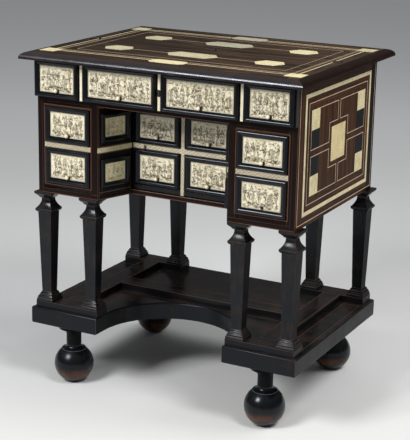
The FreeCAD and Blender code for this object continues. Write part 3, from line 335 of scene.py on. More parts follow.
def end_veneer(name):
    # The end panel's rosewood: upright in the field and the front margin, lying down in the margins above
    # and below, mitred between them, and a black margin at the back.
    material, tree, shader, place = new_material(name)
    offset = add(tree, "VectorMath", {0: place, 1: END_MIDDLE}, operation="SUBTRACT")
    distance = add(tree, "VectorMath", {0: offset}, operation="ABSOLUTE")
    past_band = add(tree, "VectorMath", {0: distance, 1: END_BAND}, operation="SUBTRACT")
    past = add(tree, "SeparateXYZ", {0: past_band}, None)
    outside = add(tree, "Math", {0: past["Z"], 1: MARGIN_FROM_BAND}, operation="GREATER_THAN")
    mitre = add(tree, "Math", {0: past["Z"], 1: past["Y"]}, operation="GREATER_THAN")
    share = add(tree, "Math", {0: outside, 1: mitre}, operation="MULTIPLY")
    wood, pores = crossed_wood(tree, place, "zy", END_TONES, share)
    behind = add(tree, "SeparateXYZ", {0: offset}, "Y")
    black = add(tree, "Math", {0: behind, 1: BLACK_MARGIN_FROM}, operation="GREATER_THAN")
    colour = add(tree, "Mix", {0: black, COLOUR_A: wood, COLOUR_B: linear(END_BLACK)}, **COLOURS)
    polish(tree, shader, colour, pores, 0.4, 0.05)
    return material


def show_solid(name, node, finishes, body, rub_width=0.0):
    # Shows a node's own solids with their finishes.
    show(name, rubbed_copy(node, rub_width), finishes, body, node)


end_rosewood = end_veneer("rosewood_end_veneer")
rail_rosewood = figured_wood("rosewood_rail_veneer", "z", RAIL_TONES, 0.3)
floor_rosewood = figured_wood("rosewood_floor_veneer", "x", RAIL_TONES, 0.3)
wall_black = stained_wood("stained_pear_wall", "z", 0.4, 0.1)
carcass_oak = figured_wood("oiled_oak_across", "x", OAK_TONES, 0.55)
drawer_oak = figured_wood("oiled_oak_deep", "y", OAK_TONES, 0.55)
for hand, outward in (("left", -1), ("right", 1)):
    node = f"side_{hand}"
    board = rubbed_copy(node, CARCASS_RUB)
    refinish(board, 2, lambda way, place: way.x * outward < FACING)
    show(f"case_{node}", board, [end_rosewood, worn_arris, rail_rosewood], "case", node)
show_solid("rails_and_stiles", "front_rails", [rail_rosewood, worn_arris], "case", CARCASS_RUB)
show_solid("slanted_walls", "kneehole_walls", [wall_black], "case")
show_solid("plain_back", "back_board", [carcass_oak, carcass_oak], "case", CARCASS_RUB)
show_solid("floor_boards", "case_floor", [floor_rosewood, worn_arris], "case", CARCASS_RUB)
show_solid("deck_board", "writing_deck", [floor_rosewood], "case")
show_solid("bearers", "drawer_bearers", [drawer_oak], "case")


# Stringing
# Fine lines of red-brown wood let into the black: round each pair of drawers, along the arrises of the
# kneehole, and on the base beside the stretcher. Each is a square strip pressed into a groove.
STRING_PATCH = 20 * MM
STRING_BREADTH = 1.1
STRING_PROUD = 0.15
SQUARE_DEPTH = 1.0
DRAWER_CLEAR = 2.2
EDGE_CLEAR = 1.5
CASE_FACE = -239.0
CASE_END = 339.0
RECESS_FACE = -141.0
KNEE_FRONT = 172.0
KNEE_BACK = 137.5
WALL_CLEAR = 4.0
FLOOR_CLEAR = 6.0
STRIP_CLEAR = 2.0
END_CLEAR = 1.0
WEB_INNER = 227.0
WEB_OUTER = 304.0
SLAB_END = 346.0
MARGIN_FRONT = -178.0
MARGIN_BACK = 170.0
BAY_FRONT = -186.0
BAR_FRONT = -33.0
BAR_BACK = 48.0
WEB_LINES = (245.0, 286.0)
WEB_LINE_FRONT = -190.0
WEB_LINE_BACK = 182.0
BAR_LINES = (-15.0, -1.0, 30.0)
BAR_LINE_END = 241.0
AHEAD = (0, -1, 0)
ABOVE = (0, 0, 1)
BEHIND = (0, 1, 0)


def sized_tree(name, size_name):
    # An empty Geometry Nodes tree whose inputs are a mesh, a named size and a finish.
    tree = bpy.data.node_groups.new(name, "GeometryNodeTree")
    for label, way, kind in (
            ("Mesh", "INPUT", "Geometry"), (size_name, "INPUT", "Float"), ("Finish", "INPUT", "Material"),
            ("Result", "OUTPUT", "Geometry")):
        tree.interface.new_socket(label, in_out=way, socket_type=f"NodeSocket{kind}")
    return tree, tree.nodes.new("NodeGroupInput").outputs


def close_tree(tree, geometry, finish):
    # Every tree ends in a plain mesh with its material.
    solid = add(tree, "RealizeInstances", {"Geometry": geometry})
    painted = add(tree, "SetMaterial", {"Geometry": solid, "Material": finish})
    feed(tree, tree.nodes.new("NodeGroupOutput"), {"Result": painted})


def grown(source, tree, values):
    # The plain mesh that a tree makes from a source mesh.
    holder = bpy.data.objects.new("source", source)
    bpy.context.scene.collection.objects.link(holder)
    modifier = holder.modifiers.new("tree", "NODES")
    modifier.node_group = tree
    for item in tree.interface.items_tree:
        if item.name in values:
            modifier[item.identifier] = values[item.name]
    graph = bpy.context.evaluated_depsgraph_get()
    mesh = bpy.data.meshes.new_from_object(holder.evaluated_get(graph), depsgraph=graph)
    bpy.data.objects.remove(holder)
    return mesh


def strip_tree():
    # Sweeps a strip along every line of a mesh, as broad as each point says. Its depth is a share of that.
    tree, start = sized_tree("strips", "Depth")
    path = add(tree, "MeshToCurve", {"Mesh": start["Mesh"]})
    level = add(tree, "SetCurveNormal", {"Curve": path}, mode="Z_UP")
    section = add(tree, "CurvePrimitiveQuadrilateral", {"Width": 1.0, "Height": start["Depth"]})
    breadth = add(tree, "InputNamedAttribute", {"Name": "breadth"}, data_type="FLOAT")
    strip = add(tree, "CurveToMesh", {
        "Curve": level, "Profile Curve": section, "Scale": breadth, "Fill Caps": True})
    close_tree(tree, strip, start["Finish"])
    return tree


def line_mesh(lines):
    # Loose lines from places in millimetres, each point with the breadth of its line.
    points = []
    edges = []
    breadths = []
    for line, breadth in lines:
        edges += [(len(points) + i, len(points) + i + 1) for i in range(len(line) - 1)]
        points += [Vector(place).to_3d() * MM for place in line]
        breadths += [breadth * MM] * len(line)
    mesh = bpy.data.meshes.new("lines")
    mesh.from_pydata(points, edges, [])
    mesh.attributes.new("breadth", "FLOAT", "POINT").data.foreach_set("value", breadths)
    return mesh


def string_line(first, last, face):
    # A string between two places in millimetres, pressed into the face that looks a given way.
    sunk = Vector(face) * (STRING_BREADTH / 2 - STRING_PROUD)
    return [Vector(first) - sunk, Vector(last) - sunk], STRING_BREADTH


def around(corners, face):
    # The strings of a closed outline.
    return [string_line(corners[i - 1], corners[i], face) for i in range(len(corners))]


def levels(node):
    # The lowest and highest level of a node.
    low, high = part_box(node)
    return low[2] / MM, high[2] / MM


case_bottom, floor_top = levels("case_floor")
deck_under = levels("writing_deck")[0]
strip_low, strip_high = levels("rail_strips")
drawers_low = levels("drawer_lower_left_box")[0] - DRAWER_CLEAR
drawers_high = levels("drawer_upper_left_box")[1] + DRAWER_CLEAR
drawer_near, drawer_far = [abs(corner[0]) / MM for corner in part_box("drawer_lower_right_box")]
hem = case_bottom + EDGE_CLEAR
case_strings = []
wall_ways = []
for side in (-1, 1):
    near, far = side * (drawer_near - DRAWER_CLEAR), side * (drawer_far + DRAWER_CLEAR)
    case_strings += around([(near, CASE_FACE, drawers_low), (far, CASE_FACE, drawers_low),
                            (far, CASE_FACE, drawers_high), (near, CASE_FACE, drawers_high)], AHEAD)
    hem_ends = [(side * x, CASE_FACE, hem) for x in (KNEE_FRONT, CASE_END)]
    case_strings.append(string_line(*hem_ends, AHEAD))
    wall_front = Vector((side * KNEE_FRONT, CASE_FACE, 0))
    wall_back = Vector((side * KNEE_BACK, RECESS_FACE, 0))
    wall_run = (wall_back - wall_front).normalized()
    wall_way = Vector((wall_run.y, -wall_run.x, 0)) * -side
    wall_ways.append(wall_way)
    first = wall_front + wall_run * WALL_CLEAR
    last = wall_back - wall_run * WALL_CLEAR
    for foot in (first, last):
        ends = [foot + Vector((0, 0, level)) for level in (case_bottom + END_CLEAR, deck_under - END_CLEAR)]
        case_strings.append(string_line(*ends, wall_way))
    for level in (hem, floor_top + FLOOR_CLEAR, strip_low - STRIP_CLEAR, strip_high + STRIP_CLEAR,
                  deck_under - WALL_CLEAR):
        rise = Vector((0, 0, level))
        case_strings.append(string_line(first + rise, last + rise, wall_way))
for half, face, level in (
        (KNEE_BACK, RECESS_FACE, hem), (KNEE_BACK, RECESS_FACE, floor_top - END_CLEAR),
        (KNEE_FRONT, CASE_FACE, deck_under + EDGE_CLEAR)):
    case_strings.append(string_line((-half, face, level), (half, face, level), AHEAD))

slab_top, stretcher_top = levels("stretcher")
base_strings = []
for side in (-1, 1):
    inner, outer, end = side * WEB_INNER, side * WEB_OUTER, side * SLAB_END
    base_strings += around([(outer, MARGIN_FRONT, slab_top), (end, MARGIN_FRONT, slab_top),
                            (end, MARGIN_BACK, slab_top), (outer, MARGIN_BACK, slab_top)], ABOVE)
    for x, front, back, level in (
            (inner, BAY_FRONT, BAR_FRONT, slab_top), (inner, BAR_BACK, MARGIN_BACK, slab_top),
            *[(side * x, WEB_LINE_FRONT, WEB_LINE_BACK, stretcher_top) for x in WEB_LINES]):
        base_strings.append(string_line((x, front, level), (x, back, level), ABOVE))
for half, y, level in (
        (WEB_INNER, BAR_FRONT, slab_top), (WEB_INNER, BAR_BACK, slab_top),
        *[(BAR_LINE_END, y, stretcher_top) for y in BAR_LINES]):
    base_strings.append(string_line((-half, y, level), (half, y, level), ABOVE))

strips = strip_tree()
for place_name, lines, tones in (
        ("case", case_strings, ("#805139", "#573628")), ("base", base_strings, ("#5e4434", "#3f2d24"))):
    string_wood = thin_finish(f"red_brown_{place_name}_string", tones, 0.42, STRING_PATCH)
    stringing = grown(line_mesh(lines), strips, {"Depth": SQUARE_DEPTH, "Finish": string_wood})
    show(f"{place_name}_stringing", stringing, [], "case")


# End panel inlay
# Bone, ebony and thin cream lines are let into each end panel: a broad band, a line, a square plate in the
# middle, and four outlined quarters with a bone square and an ebony rectangle each.
LINE_PATCH = 25 * MM
BONE_STREAK_WIDTH = 3.0 * MM
BONE_STREAK_LENGTH = 24 * MM
BONE_CLOUD = 30 * MM
BONE_PIT = 2.6 * MM
EBONY_REACH = 7.0
LINE_MOST = 3
BAND_MOST = 12
OUTLINE_LEAST = 120
MIDDLE_LEAST = 70
EBONY_MOST = 40
FLAT_ON = 0.999


def bone(name, grain, tones):
    # Polished bone: cream with close yellow-brown streaks along the shaft, faint stains and small pits.
    pale, streaked, stained = [linear(tone) for tone in tones]
    material, tree, shader, place = new_material(name)
    streak = streaks(tree, place, grain, BONE_STREAK_LENGTH, BONE_STREAK_WIDTH, Detail=3.0, Roughness=0.6)
    cloud = add(tree, "TexNoise", {"Vector": place, "Scale": 1 / BONE_CLOUD, "Detail": 4.0})
    stain = add(tree, "MapRange", {"Value": cloud, "From Min": 0.5, "From Max": 0.85, "To Max": 0.7})
    pits = add(tree, "TexNoise", {"Vector": place, "Scale": 1 / BONE_PIT, "Detail": 1.0})
    pit = add(tree, "MapRange", {"Value": pits, "From Min": 0.56, "From Max": 0.74})
    share = add(tree, "Math", {0: stain, 1: pit}, operation="MAXIMUM")
    body = blend(tree, streak, 0.38, 0.66, pale, streaked)
    colour = add(tree, "Mix", {0: share, COLOUR_A: body, COLOUR_B: stained}, **COLOURS)
    rough = add(tree, "MapRange", {"Value": streak, "To Min": 0.34, "To Max": 0.52})
    bump = add(tree, "Bump", {"Height": streak, "Strength": 0.1, "Distance": 0.1 * MM}, invert=True)
    feed(tree, shader, {"Base Color": colour, "Roughness": rough, "Normal": bump})
    return material


def islands(parts, beside):
    # Sorts parts into groups that hang together.
    todo = set(parts)
    found = []
    while todo:
        stack = [todo.pop()]
        group = []
        while stack:
            part = stack.pop()
            group.append(part)
            near = beside(part) & todo
            todo -= near
            stack += near
        found.append(group)
    return found


def flat_faces(node, way):
    # The solids' flat faces that look one way, each as the list of its corners.
    bm = bmesh.new()
    bm.from_mesh(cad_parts[node].data)
    facing = [f for f in bm.faces if f.normal.dot(Vector(way)) > FLAT_ON]
    groups = islands(facing, lambda face: {f for e in face.edges for f in e.link_faces})
    found = [[v.co.copy() for face in group for v in face.verts] for group in groups]
    bm.free()
    found.sort(key=lambda corners: [round(min(c[i] for c in corners), 5) for i in range(3)])
    return found


def reaches(corners, across, up):
    # How far a plate reaches along two ways, in millimetres.
    spans = []
    for way in (across, up):
        places = [c.dot(Vector(way)) / MM for c in corners]
        spans.append((min(places), max(places)))
    return spans


def inlaid_copy(node, way, across, up, choose):
    # A copy of inlay solids in which each plate takes the finish chosen for its size and place.
    plates = []
    for corners in flat_faces(node, way):
        spans = reaches(corners, across, up)
        (left, right), (low, high) = spans
        plates.append(((right - left) * (high - low), spans, choose(spans)))
    plates.sort(key=lambda plate: plate[0])
    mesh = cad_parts[node].data.copy()
    mesh.materials.clear()
    for polygon in mesh.polygons:
        middle = [polygon.center.dot(Vector(way)) / MM for way in (across, up)]
        holders = [finish for area, spans, finish in plates
                   if all(low - WELD / MM <= m <= high + WELD / MM for m, (low, high) in zip(middle, spans))]
        polygon.material_index = holders[0] if holders else 0
    return mesh


def end_finish(spans):
    # 0 a bone square, 1 a thin line, 2 an ebony rectangle, 3 the yellower middle plate, 4 the broad band.
    narrow, wide = sorted(high - low for low, high in spans)
    if narrow < LINE_MOST or (narrow > BAND_MOST and wide > OUTLINE_LEAST):
        return 1
    if narrow < BAND_MOST:
        return 4
    if wide > MIDDLE_LEAST:
        return 3
    return 2 if narrow < EBONY_MOST else 0


plate_bone = bone("bone_plates_upright", "z", ("#ddd2aa", "#bfb181", "#97834f"))
middle_bone = bone("bone_middle_plate", "z", ("#dccb9a", "#c9b580", "#a58b57"))
band_bone = bone("bone_band", "z", ("#ddd0ab", "#c6b78d", "#9a855c"))
line_wood = thin_finish("cream_line_wood", ("#d3bea4", "#a58a6e"), 0.42, LINE_PATCH)
inlay_ebony = stained_wood("ebony_inlay", "z", 0.4, 0.06)
end_lines = []
for hand, way in (("left", (-1, 0, 0)), ("right", (1, 0, 0))):
    node = f"side_inlay_{hand}"
    inlay = inlaid_copy(node, way, BEHIND, ABOVE, end_finish)
    middle = centre(node) / MM
    for corners in flat_faces(node, way):
        spans = reaches(corners, BEHIND, ABOVE)
        if end_finish(spans) != 2:
            continue
        (front, back), (low, high) = spans
        inner, outer, rise = (high, low, EBONY_REACH) if high < middle.z else (low, high, -EBONY_REACH)
        edge = front + STRING_BREADTH / 2 if back < middle.y else back - STRING_BREADTH / 2
        for vertex in inlay.vertices:
            if abs(vertex.co.z - inner * MM) < WELD and front * MM - WELD < vertex.co.y < back * MM + WELD:
                vertex.co.z += rise * MM
        face_x = corners[0].x / MM
        end_lines.append(string_line((face_x, edge, outer), (face_x, edge, inner + rise), way))
    show(f"end_inlay_{hand}", inlay, [plate_bone, line_wood, inlay_ebony, middle_bone, band_bone],
         "case", node)
end_stringing = grown(line_mesh(end_lines), strips, {"Depth": SQUARE_DEPTH, "Finish": line_wood})
show("end_stringing", end_stringing, [], "case")


# Kneehole ornament and engraved strips
# Engraved bone plaques in ebony frames are pinned to the slanted walls, and engraved strips lie between
# them and between the drawers. The engraving is cut with a graver and filled with black or brown wax.
SECTION_CREASE = math.radians(40)
FLAT_JOIN = math.radians(1)
MITRE_RISE = (0.1, 0.95)
PLAQUE_LEAST = 20
CUT_DEPTH = 0.06
# The knob's painted shadow: its depth, breadth and size, and how far it sits right of and below the knob.
KNOB_SHADOW_DEPTH = 0.08
KNOB_SHADOW_BREADTH = 4.4
KNOB_SHADOW_RADIUS = 2.2
KNOB_SHADOW_ASIDE = 3.4
KNOB_SHADOW_DROP = 0.6
KNOB_SHADOW_POINTS = 13
PIN_RADIUS = 0.8 * MM
PIN_INSET = 3.0
PIN_SUNK = 0.4
PIN_PATCH = 3 * MM
WAX_PATCH = 15 * MM
STRIP_WAX_PATCH = 9 * MM
KNOB_SHADOW_PATCH = 5 * MM


def pin_tree():
    # Sets a small domed pin head on every point.
    tree, start = sized_tree("pins", "Radius")
    head = add(tree, "MeshIcoSphere", {"Radius": start["Radius"], "Subdivisions": 2})
    heads = add(tree, "InstanceOnPoints", {"Points": start["Mesh"], "Instance": head})
    close_tree(tree, heads, start["Finish"])
    return tree


def hatch(rng, left, right, low, high, gap, breadth):
    # Upright strokes side by side that shade an area. Each stroke is its points and its breadth, in
    # millimetres from the plaque's lower left corner.
    x = left
    while x < right:
        foot = low + rng.uniform(0, 0.6)
        head = high - rng.uniform(0, 0.12) * (high - low)
        yield [(x, foot), (x + rng.uniform(-0.4, 0.4), head)], breadth * rng.uniform(0.7, 1.2)
        x += gap * rng.uniform(0.75, 1.3)


def arc(x, y, radius, start, end, count):
    # Points along a part of a circle, whose start and end are in turns.
    turns = [start + (end - start) * i / (count - 1) for i in range(count)]
    return [(x + radius * math.cos(t * math.tau), y + radius * math.sin(t * math.tau)) for t in turns]


def arcade(rng, left, right, low, high):
    # Round arches on columns under a cornice, with their openings in shade.
    count = max(1, round((right - left) / 13))
    bay = (right - left) / count
    spring = low + (high - low) * 0.5
    for i in range(count + 1):
        x = left + i * bay
        for step, breadth in ((-1.3, 0.5), (1.3, 0.8), (0.5, 0.4)):
            yield [(x + step, low), (x + step * 0.9, spring)], breadth
        for level in (low + 0.6, spring + 0.4):
            yield [(x - 2.1, level), (x + 2.1, level)], 0.9
    for i in range(count):
        middle = left + (i + 0.5) * bay
        radius = bay / 2 - 1.2
        yield arc(middle, spring + 1, radius, 0, 0.5, 9), 0.8
        yield arc(middle, spring + 1, radius * 0.72, 0, 0.5, 7), 0.45
        x = middle - radius * 0.3
        while x < middle + radius * 0.7:
            rise = math.sqrt(max(0.0, (radius * 0.72) ** 2 - (x - middle) ** 2))
            yield [(x, low + rng.uniform(0, 3)), (x, spring + rise)], rng.uniform(0.6, 1.0)
            x += 1.35
    for level, breadth in ((high - 3.2, 0.9), (high - 1.0, 0.6)):
        yield [(left - 2, level), (right + 2, level)], breadth
    yield from hatch(rng, left - 1, right + 1, high - 3.0, high - 1.2, 1.9, 0.6)


def foliage(rng, x, y, spread, tall, count):
    # Curled leaves in an oval, heavier towards its lower right.
    for n in range(count):
        turn = rng.random()
        reach = math.sqrt(rng.random())
        leaf_x = spread * reach * math.cos(turn * math.tau)
        leaf_y = tall * reach * math.sin(turn * math.tau)
        shade = 0.5 + 0.25 * (leaf_x / spread - leaf_y / tall)
        start = rng.uniform(0, 1)
        leaf = arc(x + leaf_x, y + leaf_y, rng.uniform(0.7, 1.4), start, start + 0.55, 4)
        yield leaf, 0.35 + 0.6 * max(0.0, shade)


def tree_strokes(rng, x, low, high, spread):
    # A leafy tree with a bent trunk.
    fork = low + (high - low) * 0.4
    lean = rng.uniform(-2, 2)
    for step, breadth in ((-0.7, 0.5), (0.6, 0.8)):
        bend = (x + step + lean * 0.3, (low + fork) / 2)
        yield [(x + step * 1.5, low), bend, (x + step * 0.7 + lean, fork + 2)], breadth
    tall = (high - fork) / 2 + 1
    yield from foliage(rng, x + lean, (fork + high) / 2, spread, tall, int(spread * tall * 1.1))


def house(rng, left, right, low, high):
    # A gabled house with dark windows and a shaded roof.
    eaves = low + (high - low) * 0.62
    middle = (left + right) / 2
    yield [(left, low), (left, eaves), (middle, high), (right, eaves), (right, low)], 0.7
    yield [(left - 1, eaves), (right + 1, eaves)], 0.8
    x = left + 1.5
    while x < right - 1:
        ridge = eaves + (high - eaves) * (1 - abs(x - middle) / (middle - left))
        yield [(x, eaves + 0.5), (x, ridge - 0.4)], 0.8
        x += 1.5
    for step in (0.25, 0.55):
        window = left + (right - left) * step
        for level in (low + (eaves - low) * 0.2, low + (eaves - low) * 0.62):
            yield [(window, level), (window, level + (eaves - low) * 0.2)], 1.4
    yield from hatch(rng, middle + (right - middle) * 0.4, right, low, eaves, 1.2, 0.55)


def shading(rng, x, y, reach):
    # A patch of close parallel strokes, level or sloping.
    slope = rng.choice((0.0, 0.3, -0.3))
    for n in range(rng.randint(3, 6)):
        level = y + n * 0.85
        start = x + rng.uniform(-0.8, 0.8)
        yield [(start, level), (start + reach, level + reach * slope)], rng.uniform(0.25, 0.5)


def landscape(width, height, seed):
    # A generic view in a border: arcades, houses and trees on a hatched ground, with hills and clouds.
    rng = random.Random(seed)
    for n in range(int(width * height / 36)):
        x = rng.uniform(3, width - 7)
        y = 3 + (height - 10) * rng.random() ** 1.3
        yield from shading(rng, x, y, rng.uniform(2, 4))
    for inset, breadth in ((1.2, 0.55), (2.3, 0.3)):
        right, top = width - inset, height - inset
        corners = [(inset, inset), (right, inset), (right, top), (inset, top), (inset, inset)]
        for i in range(4):
            yield corners[i:i + 2], breadth
    ground = height * 0.2
    bays = max(3, round(width / 15))
    bay = (width - 7) / bays
    order = ["arcade", "tree", "house", "tree", "tree"]
    for n in range(int(width / 5)):
        yield from foliage(rng, rng.uniform(6, width - 6), height * rng.uniform(0.36, 0.72),
                           rng.uniform(2.5, 4.5), rng.uniform(1.5, 3.5), 9)
    for i in range(bays):
        left = 3.5 + i * bay + rng.uniform(-1, 1)
        low = ground + rng.uniform(-3, 3)
        high = height - rng.uniform(3.5, 12)
        kind = order[(seed + i) % len(order)]
        if kind == "arcade":
            yield from arcade(rng, left + 2, left + bay - 2, low, high)
        elif kind == "house":
            yield from house(rng, left + 1, left + bay * 0.8, low, high)
        else:
            trunk = left + bay * rng.uniform(0.3, 0.7)
            yield from tree_strokes(rng, trunk, low, high, bay * rng.uniform(0.24, 0.4))
    for n in range(int(width / 6)):
        yield from foliage(rng, rng.uniform(6, width - 6), rng.uniform(4.5, ground + 3),
                           rng.uniform(2.5, 4.5), rng.uniform(1.5, 2.5), 10)
    x = 3.0
    while x < width - 5:
        rise = ground + height * (0.3 + 0.1 * math.sin(x / width * 9 + seed))
        yield [(x, rise), (x + 3, rise + rng.uniform(-0.8, 0.8))], 0.4
        x += rng.uniform(3.5, 6)
    for n in range(int(width * 0.8)):
        x = rng.uniform(3, width - 8)
        level = rng.uniform(2.8, ground + 1)
        end = (x + rng.uniform(2.5, 6), level + rng.uniform(-0.3, 0.3))
        yield [(x, level), end], rng.uniform(0.35, 0.8)
    for n in range(int(width * 0.15)):
        x = rng.uniform(5, width - 5)
        foot = rng.uniform(ground - 5, ground + 1)
        for fan in (-0.09, -0.03, 0.04, 0.1):
            tip = (x + 5 * math.sin(fan * math.tau), foot + 1.5 + 4.2 * math.cos(fan * math.tau))
            yield [(x, foot), tip], 0.6
    for n in range(int(width * 0.3)):
        x = rng.uniform(3.5, width - 12)
        level = rng.uniform(height - 7, height - 3.2)
        yield [(x, level), (x + rng.uniform(4, 9), level)], 0.3


def lozenges(width, height, pitch, weight):
    # A strip of crossing waves with a dot in each opening, between two edge lines.
    along, across = max(width, height), min(width, height)
    count = max(2, round(along / pitch))
    strokes = [([(0.8, across * step), (along - 0.8, across * step)], 0.4 * weight) for step in (0.1, 0.9)]
    for sign in (-1, 1):
        wave = []
        for i in range(count * 6 + 1):
            turn = i / 6
            swing = math.sin(turn * math.pi) * across * 0.28 * sign
            wave.append((1 + (along - 2) * turn / count, across / 2 + swing))
        strokes.append((wave, 0.6 * weight))
    for i in range(count):
        x = 1 + (along - 2) * (i + 0.5) / count
        strokes.append(([(x - 0.7, across / 2), (x + 0.7, across / 2)], 1.1 * weight))
    if height > width:
        strokes = [([(y, x) for x, y in points], breadth) for points, breadth in strokes]
    return strokes


def joined(parts):
    # Several meshes as one, with the first one's materials.
    bm = bmesh.new()
    for mesh in parts:
        bm.from_mesh(mesh)
    whole = settled(bm)
    for material in parts[0].materials:
        whole.materials.append(material)
    return whole


def show_moulding(name, body, node):
    # Mitred ebony mouldings, round over the crown of their section, sharp in its hollows and mitres.
    piece = show(name, rubbed_copy(node), [frame_ebony], body, node)
    bm = bmesh.new()
    bm.from_mesh(piece.data)
    for edge in bm.edges:
        angle = edge.calc_face_angle(math.pi)
        run = (edge.verts[1].co - edge.verts[0].co).normalized()
        mitred = MITRE_RISE[0] < abs(run.z) < MITRE_RISE[1]
        rounded = angle < SECTION_CREASE and edge.is_convex and not mitred
        edge.smooth = rounded or angle < FLAT_JOIN
    bm.to_mesh(piece.data)
    bm.free()


def engrave(piece_name, body, node, ways, seed, weight, strip_pitch=0.0, strip_weight=0.0, knob_rise=0.0):
    # Cuts a view into every plaque of a node, lozenges into its narrow strips, and pins the plaques. A dark
    # spot right of each knob and a little below it is the knob's painted shadow.
    cuts = {"engraving": [], "strip_engraving": [], "painted_knob_shadows": []}
    heads = []
    up = Vector(ABOVE)
    for way in ways:
        face_way = Vector(way)
        across = up.cross(face_way)
        for corners in flat_faces(node, way):
            places = [(c.dot(across), c.z) for c in corners]
            left, low = [min(reach) for reach in zip(*places)]
            right, high = [max(reach) for reach in zip(*places)]
            width, height = (right - left) / MM, (high - low) / MM
            origin = across * left + up * low + face_way * corners[0].dot(face_way)
            settle = Matrix.Translation(origin) @ Matrix((across, up, face_way)).transposed().to_4x4()
            seed += 1
            jobs = []
            if min(width, height) > PLAQUE_LEAST:
                strokes = [(line, breadth * weight) for line, breadth in landscape(width, height, seed)]
                jobs.append(("engraving", strokes, CUT_DEPTH, black_wax))
                if knob_rise:
                    # A dark ring right of the knob and a little below it, the knob's painted shadow.
                    ring = arc(width / 2 + KNOB_SHADOW_ASIDE, knob_rise - KNOB_SHADOW_DROP, KNOB_SHADOW_RADIUS, 0, 1, KNOB_SHADOW_POINTS)
                    jobs.append(("painted_knob_shadows", [(ring, KNOB_SHADOW_BREADTH)], KNOB_SHADOW_DEPTH, knob_shadow_paint))
                for x in (PIN_INSET, width - PIN_INSET):
                    for y in (PIN_INSET, height - PIN_INSET):
                        heads.append(settle @ (Vector((x, y, -PIN_SUNK)) * MM))
            elif strip_pitch:
                strokes = lozenges(width, height, strip_pitch, strip_weight)
                jobs.append(("strip_engraving", strokes, CUT_DEPTH, strip_wax))
            for kind, strokes, depth, wax in jobs:
                cut = grown(line_mesh(strokes), strips, {"Depth": depth, "Finish": wax})
                cut.transform(settle)
                cuts[kind].append(cut)
    for kind, parts in cuts.items():
        if parts:
            show(f"{piece_name}_{kind}", joined(parts), [], body)
    if heads:
        pin_places = bpy.data.meshes.new("pin_places")
        pin_places.from_pydata(heads, [], [])
        pins = grown(pin_places, pin_setter, {"Radius": PIN_RADIUS, "Finish": pin_metal})
        show(f"{piece_name}_pins", pins, [], body)


pin_setter = pin_tree()
black_wax = thin_finish("engravers_black_wax", ("#3d3528", "#5f543f"), 0.5, WAX_PATCH)
pin_metal = thin_finish("dark_iron_pin", ("#3a342c", "#1f1c19"), 0.45, PIN_PATCH)
frame_ebony = stained_wood("polished_ebony_moulding", "x", 0.16, 0.42, tones=("#060608", "#0e0f11"))
strip_wax = thin_finish("brown_strip_wax", ("#63523c", "#857258"), 0.5, STRIP_WAX_PATCH)
# Near-black for the knobs' painted shadows.
knob_shadow_paint = thin_finish("knob_shadow_black_paint", ("#12100c", "#1f1b15"), 0.4, KNOB_SHADOW_PATCH)
# The kneehole plaques' bone is raised in tone: painted light that lifts them against the shade of the recess.
recess_bone_painted_light = bone("bone_kneehole_plaques_painted_light", "z", ("#f4eac4", "#ded2a4", "#b6a772"))
strip_bone = bone("bone_strips", "x", ("#ddd3ba", "#c9bea1", "#a3977a"))
show_moulding("kneehole_mouldings", "case", "kneehole_frames")
show_solid("kneehole_bone", "kneehole_plaques", [recess_bone_painted_light], "case")
engrave("kneehole", "case", "kneehole_plaques", wall_ways, seed=10, weight=0.3,
        strip_pitch=9, strip_weight=1.2)
show_solid("rail_bone", "rail_strips", [strip_bone], "case")
engrave("rail", "case", "rail_strips", [AHEAD], seed=20, weight=1.0, strip_pitch=11, strip_weight=2.0)


# Pedestal drawers
# Four drawers with oak boxes and black fronts. Each front has a mitred ebony moulding round an engraved
# bone plaque, and a small turned bone knob on a peg. The lower right knob is lost.
KNOB_RISE = 5.0
KNOB_FULLNESS = 1.2


def full_knobs(node):
    # The knobs with their heads a little fuller round the peg's axis than the plain turned solid.
    mesh = rubbed_copy(node)
    bm = bmesh.new()
    bm.from_mesh(mesh)
    for knob in islands(bm.verts, lambda corner: {e.other_vert(corner) for e in corner.link_edges}):
        for axis in (0, 2):
            places = [corner.co[axis] for corner in knob]
            middle = (min(places) + max(places)) / 2
            for corner in knob:
                corner.co[axis] = middle + (corner.co[axis] - middle) * KNOB_FULLNESS
    bm.to_mesh(mesh)
    bm.free()
    return mesh


def show_front(prefix, body, plural=""):
    # The mouldings, the bone and the knobs that each front has.
    show_moulding(f"{prefix}_moulding{plural}", body, f"{prefix}_frame{plural}")
    show_solid(f"{prefix}_bone", f"{prefix}_plaque{plural}", [plaque_bone], body)
    knobs = f"{prefix}_knob{plural}"
    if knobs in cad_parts:
        show(f"{prefix}_turned_knob{plural}", full_knobs(knobs), [knob_bone], body, knobs)


plaque_bone = bone("bone_plaques", "z", ("#f0e8cf", "#e0d6b7", "#c6b890"))
knob_bone = bone("turned_bone_knob", "y", ("#fbf3d8", "#e8dcb6", "#c9b68a"))
seed = 30
for level in ("upper", "lower"):
    for hand in ("left", "right"):
        drawer = f"drawer_{level}_{hand}"
        show_solid(f"{drawer}_oak", f"{drawer}_box", [drawer_oak], drawer)
        show_front(drawer, drawer)
        engrave(drawer, drawer, f"{drawer}_plaque", [AHEAD], seed, weight=0.95, knob_rise=KNOB_RISE)
        seed += 5


# Recess door
# One board made to look like four drawers, with mitred ebony mouldings, engraved plaques, crossed
# engraved strips and small bone knobs.
show_solid("door_black_board", "door_board", [leg_black], "recess_door")
show_front("door", "recess_door", "s")
engrave("door", "recess_door", "door_plaques", [AHEAD], seed=60, weight=0.95, strip_pitch=12,
        strip_weight=1.9, knob_rise=KNOB_RISE)


# Fall front
# A hinged board made to look like a row of four drawers, with the same mouldings, plaques and knobs, and
# narrow bone strips between them. The middle strip has the keyhole.
show_solid("flap_black_board", "flap_board", [board_black, worn_arris], "fall_front", CARCASS_RUB)
show_front("flap", "fall_front", "s")
engrave("flap", "fall_front", "flap_plaques", [AHEAD], seed=80, weight=1.0, knob_rise=KNOB_RISE)


